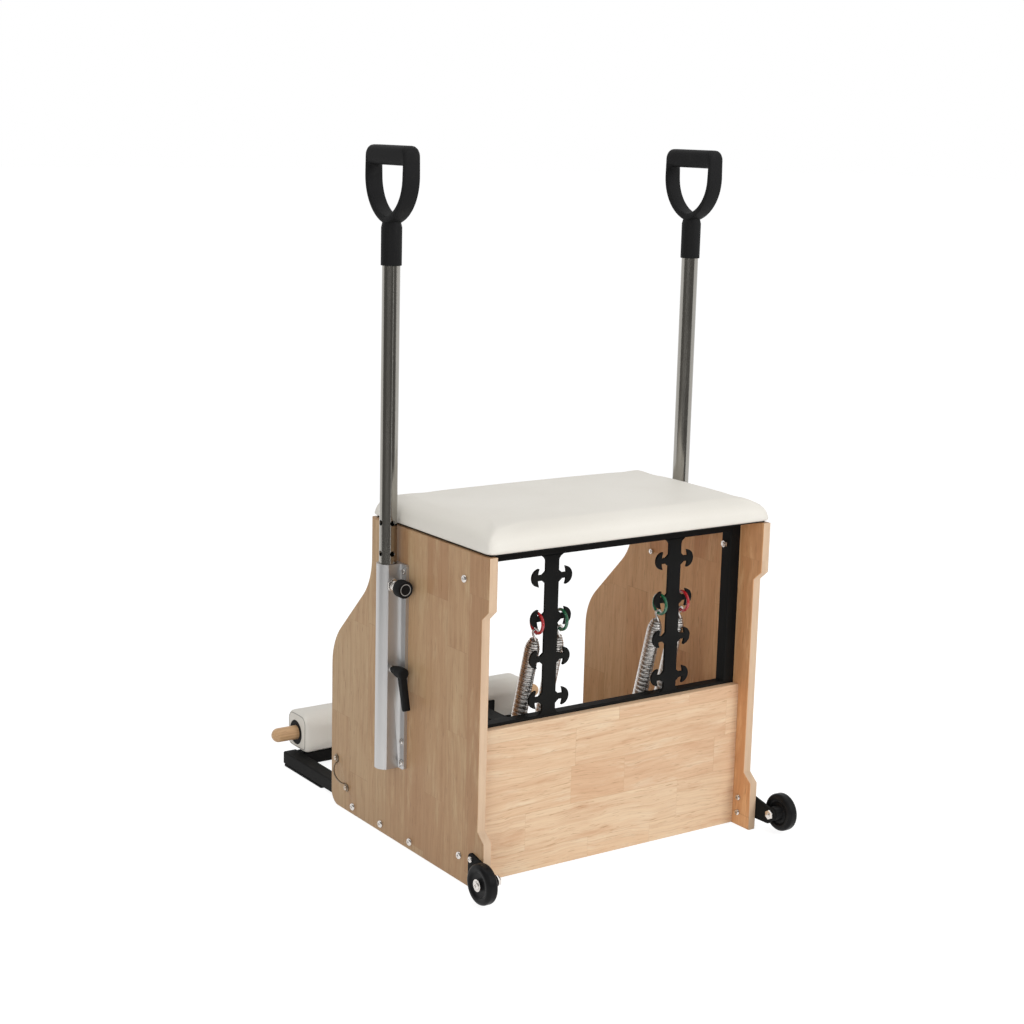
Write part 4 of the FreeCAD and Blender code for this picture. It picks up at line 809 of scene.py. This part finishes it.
# Poles. Polished stainless tube, cross-drilled at six heights for the plunger's pin; a dark core
# stands for the unlit inside that the holes show.
def polished_tube():
    material, shader, place = finish("polished_tube", Metallic=1.0)
    drawn = place.stretched(900.0, 900.0, 3.0).noise(1.0, 3.0)
    smear = place.stretched(30.0, 30.0, 9.0).noise(1.0, 4.0)
    smear.mix((0.38, 0.364, 0.335, 1), (0.31, 0.297, 0.270, 1)).feed(shader, "Base Color")
    (0.12 + 0.10 * smear.between(0.35, 0.8) + 0.05 * drawn).feed(shader, "Roughness")
    drawn.bump(0.03, 0.0002).feed(shader, "Normal")
    return material


# Painted shade: the near-black core stands for the unlit inside of the tube, mottled a little.
def painted_tube_shade():
    material, shader, place = finish("painted_tube_shade", Roughness=0.8)
    shade_mottle = place.noise(80.0, 3.0)
    shade_mottle.mix((0.004, 0.004, 0.004, 1), (0.010, 0.009, 0.008, 1)).feed(shader, "Base Color")
    return material


tube_steel = polished_tube()
tube_dark = painted_tube_shade()
index_height = 0.4976
index_pitch = 0.056
hole_rows = 6
rows_above = 2
core_radius = 0.0034
core = bmesh.new()
rod(core, 24, core_radius, hole_rows * index_pitch)
core_middle = index_height + (rows_above + 0.5 - hole_rows / 2) * index_pitch
for side, sign in hands.items():
    smooth_copy("pole_" + side, "pole_" + side, "pole_steel", tube_steel)
    placed = Matrix.Translation((sign * pole_x, pole_y, core_middle))
    gather("pole_inside_" + side, [(core, placed)], tube_dark, "pole_" + side, "pole_steel")


# Grips. Moulded handles of matt black plastic on the pole tops: a round-edged bar across, a strap
# bent round below it to a point, and a socket for the pole.
def turned(profile, steps, soften):
    """Solid of revolution about +Z from (radius, height) points, its sharp edges softened."""
    shape = bmesh.new()
    verts = [shape.verts.new((radius, 0, height)) for radius, height in profile]
    edges = [shape.edges.new(pair) for pair in zip(verts, verts[1:])]
    bmesh.ops.spin(shape, geom=verts + edges, axis=(0, 0, 1), cent=(0, 0, 0), angle=2 * math.pi,
                   steps=steps, use_merge=True)
    bmesh.ops.remove_doubles(shape, verts=shape.verts, dist=1e-7)
    bmesh.ops.recalc_face_normals(shape, faces=shape.faces)
    if soften:
        walls = [edge for edge in shape.edges if len(edge.link_faces) == 2]
        sharp = [edge for edge in walls if edge.calc_face_angle() > 0.6]
        bmesh.ops.bevel(shape, geom=sharp, offset=soften, segments=3, profile=0.5, affect="EDGES",
                        clamp_overlap=True, material=-1)
    return shape


def grip_edge(half, top, corner, bend_height, bend, tip):
    """One edge of the loop from the middle of the bar to the foot, seen from the side, as (y, z) points."""
    points = [((half - corner) * step / 5, top) for step in range(5)]
    for step in range(7):
        angle = math.radians(90 - 15 * step)
        points.append((half - corner + corner * math.cos(angle), top - corner + corner * math.sin(angle)))
    for step in range(1, 4):
        points.append((half, top - corner + (bend_height - top + corner) * step / 4))
    last = math.acos((bend - half) / (bend - tip))
    for step in range(15):
        angle = -last * step / 14
        points.append((half - bend + bend * math.cos(angle), bend_height + bend * math.sin(angle)))
    foot = bend_height - (bend - tip) * math.sin(last)
    for step in range(1, 5):
        angle = -last - (math.pi / 2 - last) * step / 4
        points.append((tip * math.cos(angle), foot + tip * math.sin(angle)))
    return points


strap_round = 0.011
strap_half = 0.0165


def section_ring(outer, inner):
    """Rounded rectangle between an outer and an inner point of the loop, as wide as the strap."""
    middle = (outer + inner) / 2
    reach = (outer - inner).length / 2
    way = (outer - inner).normalized()
    radius = min(strap_round, 0.75 * reach)
    ring = []
    for corner, (up, over) in enumerate(((1, 1), (-1, 1), (-1, -1), (1, -1))):
        for step in range(5):
            angle = math.radians(90 * corner + 22.5 * step)
            rise = up * (reach - radius) + radius * math.cos(angle)
            shift = over * (strap_half - radius) + radius * math.sin(angle)
            ring.append(middle + way * rise + Vector((shift, 0, 0)))
    return ring


def banded(rings):
    """Band of faces through rings of points, the last ring joined to the first."""
    shape = bmesh.new()
    rows = [[shape.verts.new(point) for point in ring] for ring in rings]
    for row, after in zip(rows, rows[1:] + rows[:1]):
        for place in range(len(row)):
            shape.faces.new((row[place - 1], row[place], after[place], after[place - 1]))
    return shape


plastic = soft_black("matt_plastic", 0.012, 0.52)
grip_bend = 1.220
grip_half = 0.067
strap_wall = 0.008
outer_edge = grip_edge(grip_half, top=1.272, corner=0.012, bend_height=grip_bend, bend=0.085, tip=0.008)
inner_edge = grip_edge(grip_half - strap_wall, top=1.238, corner=0.006, bend_height=grip_bend, bend=0.070,
                       tip=0.005)
rings = [section_ring(Vector((0, *a)), Vector((0, *b))) for a, b in zip(outer_edge, inner_edge)]
for ring in rings[-2:0:-1]:
    rings.append([Vector((point.x, -point.y, point.z)) for point in ring])
loop = banded(rings)
socket_line = [(0.0163, 1.0662), (0.0185, 1.0662), (0.0185, 1.132), (0.0150, 1.146), (0.0, 1.148)]
socket = turned(socket_line, 40, 0.0008)
for side, sign in hands.items():
    placed = Matrix.Translation((sign * pole_x, pole_y, 0))
    gather("handle_" + side, [(loop, placed), (socket, placed)], plastic, "pole_" + side, "black_plastic",
           "grip_" + side)


# Plungers. A steel body with a hexagon screwed into the sleeve, and a black knob that pulls the
# pin; a plain pale ring is printed on the knob's face.
def printed_mark():
    material, shader, place = finish("pale_print", Roughness=0.5)
    place.noise(500.0, 3.0).mix((0.50, 0.50, 0.49, 1), (0.36, 0.36, 0.35, 1)).feed(shader, "Base Color")
    return material


pale_print = printed_mark()
sleeve_flat = pole_y + 0.0185
hexagon_radius = 0.0133
hexagon_depth = 0.006
hexagon = bmesh.new()
rod(hexagon, 6, hexagon_radius, hexagon_depth)
bmesh.ops.translate(hexagon, verts=hexagon.verts, vec=(0, 0, hexagon_depth / 2))
round_edges(hexagon, lambda a, b: abs(a.z - b.z) < tiny, 0.0012, 2)
neck_line = [(0.0, hexagon_depth), (0.0095, hexagon_depth), (0.0095, 0.010), (0.0088, 0.0105),
             (0.0088, 0.012), (0.0095, 0.0125), (0.0095, 0.024), (0.0, 0.024)]
neck = turned(neck_line, 40, 0.0004)
knob_line = [(0.0, 0.021), (0.0125, 0.021), (0.0135, 0.0235), (0.016, 0.0262), (0.016, 0.0425),
             (0.0145, 0.045), (0.0132, 0.045), (0.0132, 0.0444), (0.0, 0.0444)]
knob = turned(knob_line, 56, 0.0007)
pin = turned([(0.0, -0.002), (0.003, -0.002), (0.003, 0.024), (0.0, 0.024)], 24, 0.0)
mark = turned([(0.0094, 0.0442), (0.0094, 0.0446), (0.0106, 0.0446), (0.0106, 0.0442)], 48, 0.0)
for side, sign in hands.items():
    placed = toward((sign * pole_x, sleeve_flat, index_height), (0, 1, 0))
    gather("plunger_seat_" + side, [(hexagon, placed), (neck, placed)], zinc, "frame", "bright_steel",
           "plunger_body_" + side)
    gather("plunger_pull_" + side, [(knob, placed), (pin, placed)], plastic, "plunger_" + side,
           "black_plastic", "plunger_knob_" + side)
    gather("plunger_mark_" + side, [(mark, placed)], pale_print, "plunger_" + side, "black_plastic")

# Clamp levers. A black handle with a round hub, tapering downwards, on a bright stud in the
# sleeve.
lever_height = 0.342
stud = turned([(0.0, 0.0005), (0.0069, 0.0005), (0.0069, 0.0045), (0.0, 0.0045)], 40, 0.0005)
for side, sign in hands.items():
    smooth_copy("clamp_lever_" + side, "lever_" + side, "black_plastic", plastic)
    placed = toward((sign * pole_x, sleeve_flat, lever_height), (0, 1, 0))
    gather("lever_stud_" + side, [(stud, placed)], zinc, "lever_" + side, "bright_steel")

# Transport wheels. Solid black tyres with a sunk hub, on steel plates bolted to the rear corners
# of the panels; a bright bolt, washer and nut hold each.
tyre_rubber = soft_black("tyre_rubber", 0.010, 0.26)
plate_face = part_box("wheel_plate_left")[1][0]
hub_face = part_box("wheel_left")[1][0]
axle_y = rear_edge + 0.041
axle_height = 0.042
screw_y = rear_edge - 0.031
screw_heights = (0.027, 0.057)
low_corner = (screw_y, 0.029, 0.009)
high_corner = (screw_y, 0.059, 0.009)
heel = (axle_y - 0.010, 0.032, 0.011)
axle_end = (axle_y, axle_height, 0.0105)
washer_radius = 0.0109
washer_wall = 0.0012
washer_line = [(0.0, 0.0), (washer_radius, 0.0), (washer_radius, washer_wall), (0.0, washer_wall)]
washer = turned(washer_line, 40, 0.0003)
axle_head = pan_head(0.0078, 0.0022)
axle_nut = hex_nut(0.0165, 0.0065, 0.0045)
plate_head = pan_head(0.0057, 0.0035)
plate_nut = pan_head(0.0060, 0.0045)
screws = []
for side, sign in hands.items():
    smooth_copy("wheel_" + side, "wheel_" + side, "wheel_rubber", tyre_rubber)
    plate = bmesh.new()
    for y, height, radius in (low_corner, high_corner, heel, axle_end):
        end = rod(plate, 36, radius, plate_face - outer_face)
        spot = toward((sign * (plate_face + outer_face) / 2, y, height), (1, 0, 0))
        bmesh.ops.transform(plate, matrix=spot, verts=end)
    hull = bmesh.ops.convex_hull(plate, input=plate.verts)
    bmesh.ops.delete(plate, geom=list(set(hull["geom_interior"] + hull["geom_unused"])), context="VERTS")
    bmesh.ops.dissolve_limit(plate, angle_limit=0.01, verts=plate.verts, edges=plate.edges)
    round_edges(plate, lambda a, b: abs(a.x - b.x) < tiny, 0.0006, 2)
    gather("plate_" + side, [(plate, Matrix.Identity(4))], black_coat, "frame", "black_steel",
           "wheel_plate_" + side)
    out = (sign, 0, 0)
    back = (-sign, 0, 0)
    gather("axle_" + side, [
        (washer, toward((sign * hub_face, axle_y, axle_height), out)),
        (axle_head, toward((sign * (hub_face + washer_wall), axle_y, axle_height), out)),
        (axle_nut, toward((sign * outer_face, axle_y, axle_height), back)),
    ], zinc, "frame", "bright_steel", "wheel_axle_" + side)
    for height in screw_heights:
        screws.append((plate_head, toward((sign * plate_face, screw_y, height), out)))
        screws.append((plate_nut, toward((sign * inner_face, screw_y, height), back)))
gather("plate_screws", screws, zinc, "frame", "bright_steel", "wheel_plate_screws")

# Strap loops. A bronzed steel wire with an eye at each end, bowed off the panel and screwed to it
# near its front bottom corner.
bronzed = plated("bronzed_wire", 0.30, 0.40, 0.30, 0.15)
bronzed_heads = plated("bronzed_heads", 0.62, 0.30, 0.22, 0.15)
loop_head = pan_head(0.0045, 0.003)
loop_face = outer_face + 0.0032
loop_spots = ((0.517, 0.097), (0.477, 0.048))
screws = []
for side, sign in hands.items():
    smooth_copy("strap_loop_" + side, "frame", "bright_steel", bronzed)
    for depth, height in loop_spots:
        screws.append((loop_head, toward((sign * loop_face, rear_edge - depth, height), (sign, 0, 0))))
gather("loop_screws", screws, bronzed_heads, "frame", "bright_steel", "strap_loop_screws")

# Seat. A wooden board on top of the steel posts, and over it the cushion: leather drawn over firm
# foam, crowned, with round top edges; a black strip below its hem is painted shadow in the gap.
smooth_copy("seat_board", "frame", "board_wood", beech)
low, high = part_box("seat_cushion")
seat_swell = 0.004
seat_voxel = 0.006
crown = 0.004
roll_width = 0.070
roll_drop = 0.006
inset = 0.002
block_top = high[2] - 0.001
corner_round = 0.016
rim_round = 0.026
hem_round = 0.003
hem_level = low[2] + 0.010
upright_edge = 0.02
block = drawn_box((low[0], low[1], low[2] - inset), (high[0], high[1], block_top), inset)
round_edges(block, lambda a, b: abs(a.z - b.z) > upright_edge, corner_round, 8)
round_edges(block, lambda a, b: min(a.z, b.z) > block_top - inset - tiny, rim_round, 8)
round_edges(block, lambda a, b: max(a.z, b.z) < low[2] + tiny, hem_round, 2)
cover = puffed("seat_cover", block, seat_voxel, foam_pressure, seat_swell, lambda co: co.z < hem_level)
for vert in cover.verts:
    vert.co = kept_inside(vert.co, low, high)
    lift = (vert.co.z - low[2]) / (high[2] - low[2])
    u = (2 * vert.co.x - low[0] - high[0]) / (high[0] - low[0])
    v = (2 * vert.co.y - low[1] - high[1]) / (high[1] - low[1])
    vert.co.z -= crown * lift * (1 - (1 - u * u) * (1 - v * v))
    for axis in range(2):
        margin = min(vert.co[axis] - low[axis], high[axis] - vert.co[axis])
        vert.co.z -= roll_drop * lift * max(0.0, 1 - margin / roll_width) ** 2
mesh = as_mesh("seat", cover)
mesh.shade_smooth()
seat = add_piece("seat", mesh, leather, "frame", "seat_leather", "seat_cushion")
finer = seat.modifiers.new("finer", "SUBSURF")
finer.levels = 1
finer.render_levels = 1
# Painted shadow: a near-black strip under the cushion's hem stands for the shade in the gap above the
# panels.
painted_hem_shadow = soft_black("painted_hem_shadow", 0.016, 0.75)
strip_bottom = 0.6002
strip_top = 0.6045
side_out = 0.305
side_in = 0.295
front_out = -0.024
front_in = -0.0125
back_in = 0.343
back_out = 0.352
strip_spans = (
    (side_in, side_out, front_out, back_out),
    (-side_out, -side_in, front_out, back_out),
    (-side_in, side_in, front_out, front_in),
    (-side_in, side_in, back_in, back_out),
)
hem_shadow_strips = []
for right, left, front, back in strip_spans:
    strip = drawn_box((right, front, strip_bottom), (left, back, strip_top), 0.0)
    hem_shadow_strips.append((strip, Matrix.Identity(4)))
gather("hem_shadow_strip", hem_shadow_strips, painted_hem_shadow, "frame", "black_plastic")


# Studio. A pale floor, white all round, a large soft light behind the chair on its right, weaker
# ones above it and at its rear left, where the camera is, and grey cards round its left and rear
# that only shiny surfaces show.
def backdrop_mask(tree):
    """1 for the rays that see the background itself: from the camera, by reflection or through glass."""
    path = Shade(tree)
    seen = path.add("LightPath", None, None, "Is Camera Ray")
    mirrored = path.add("LightPath", None, None, "Is Glossy Ray")
    through = path.add("LightPath", None, None, "Is Transmission Ray")
    return seen.maths("MAXIMUM", mirrored).maths("MAXIMUM", through)


floor_look, floor_shader, _ = finish("pale_floor", Roughness=0.9, Specular_IOR_Level=0.0,
                                     Emission_Strength=1.0)
mask = backdrop_mask(floor_look.node_tree)
mask.mix((0.85, 0.85, 0.85, 1), (0.30, 0.30, 0.30, 1)).feed(floor_shader, "Base Color")
mask.mix((0, 0, 0, 1), (0.88, 0.88, 0.88, 1)).feed(floor_shader, "Emission Color")
ground = bmesh.new()
bmesh.ops.create_grid(ground, x_segments=1, y_segments=1, size=40.0)
floor_mesh = as_mesh("floor", ground)
floor_mesh.materials.append(floor_look)
floor = bpy.data.objects.new("floor", floor_mesh)
scene.collection.objects.link(floor)

world = bpy.data.worlds.new("studio")
scene.world = world
world.use_nodes = True
surround = backdrop_mask(world.node_tree).mix((0.47, 0.47, 0.47, 1), (1, 1, 1, 1))
surround.feed(world.node_tree.nodes["Background"], "Color")

card_look, card_shader, card_place = finish("grey_card", Roughness=1.0, Specular_IOR_Level=0.0,
                                            Base_Color=(0, 0, 0, 1), Emission_Strength=1.0)
card_grey = card_place.noise(3.0).mix((0.13, 0.128, 0.122, 1), (0.17, 0.167, 0.160, 1))
card_grey.feed(card_shader, "Emission Color")
card_radius = 1.9
card_foot = -0.1
card_head = 4.0
for name, first, last in (("card_left", -26, 77), ("card_right", 81, 128)):
    wall = bmesh.new()
    foot = wall.verts.new((card_radius, 0, card_foot))
    head = wall.verts.new((card_radius, 0, card_head))
    upright = wall.edges.new((foot, head))
    start = Matrix.Rotation(math.radians(first), 3, "Z")
    bmesh.ops.rotate(wall, verts=[foot, head], cent=(0, 0, 0), matrix=start)
    bmesh.ops.spin(wall, geom=[foot, head, upright], axis=(0, 0, 1), cent=(0, 0, 0),
                   angle=math.radians(last - first), steps=40)
    card_mesh = as_mesh(name, wall)
    card_mesh.materials.append(card_look)
    card = bpy.data.objects.new(name, card_mesh)
    card.visible_camera = False
    card.visible_diffuse = False
    card.visible_shadow = False
    scene.collection.objects.link(card)


def soft_light(name, place, aim, size, power):
    lamp = bpy.data.lights.new(name, "AREA")
    lamp.shape = "DISK"
    lamp.size = size
    lamp.energy = power
    light = bpy.data.objects.new(name, lamp)
    light.matrix_world = toward(place, Vector(place) - Vector(aim))
    scene.collection.objects.link(light)


soft_light("key", (-1.6, 3.6, 2.6), (0, 0.2, 0.5), 2.2, 77.0)
soft_light("top", (0.2, 0.0, 3.6), (0, 0, 0.5), 2.5, 22.0)
soft_light("fill", (2.8, 2.1, 1.1), (0.2, 0.0, 0.3), 2.0, 31.0)

# Camera. It stands where the photograph was taken from, behind the chair on its left, higher than
# the seat, and looks a little down.
camera_place = Vector((2.0316, 2.9243, 1.3170))
ahead = Vector((-0.5547, -0.8072, -0.2019))
roll = Matrix.Rotation(math.radians(1.43), 4, "Z")
camera_data = bpy.data.cameras.new("camera")
camera_data.sensor_width = 36.0
camera_data.lens = 66.63
camera = bpy.data.objects.new("camera", camera_data)
level_view = ahead.to_track_quat("-Z", "Y").to_matrix().to_4x4()
camera.matrix_world = Matrix.Translation(camera_place) @ level_view @ roll
scene.collection.objects.link(camera)
scene.camera = camera
scene.view_settings.view_transform = "Standard"
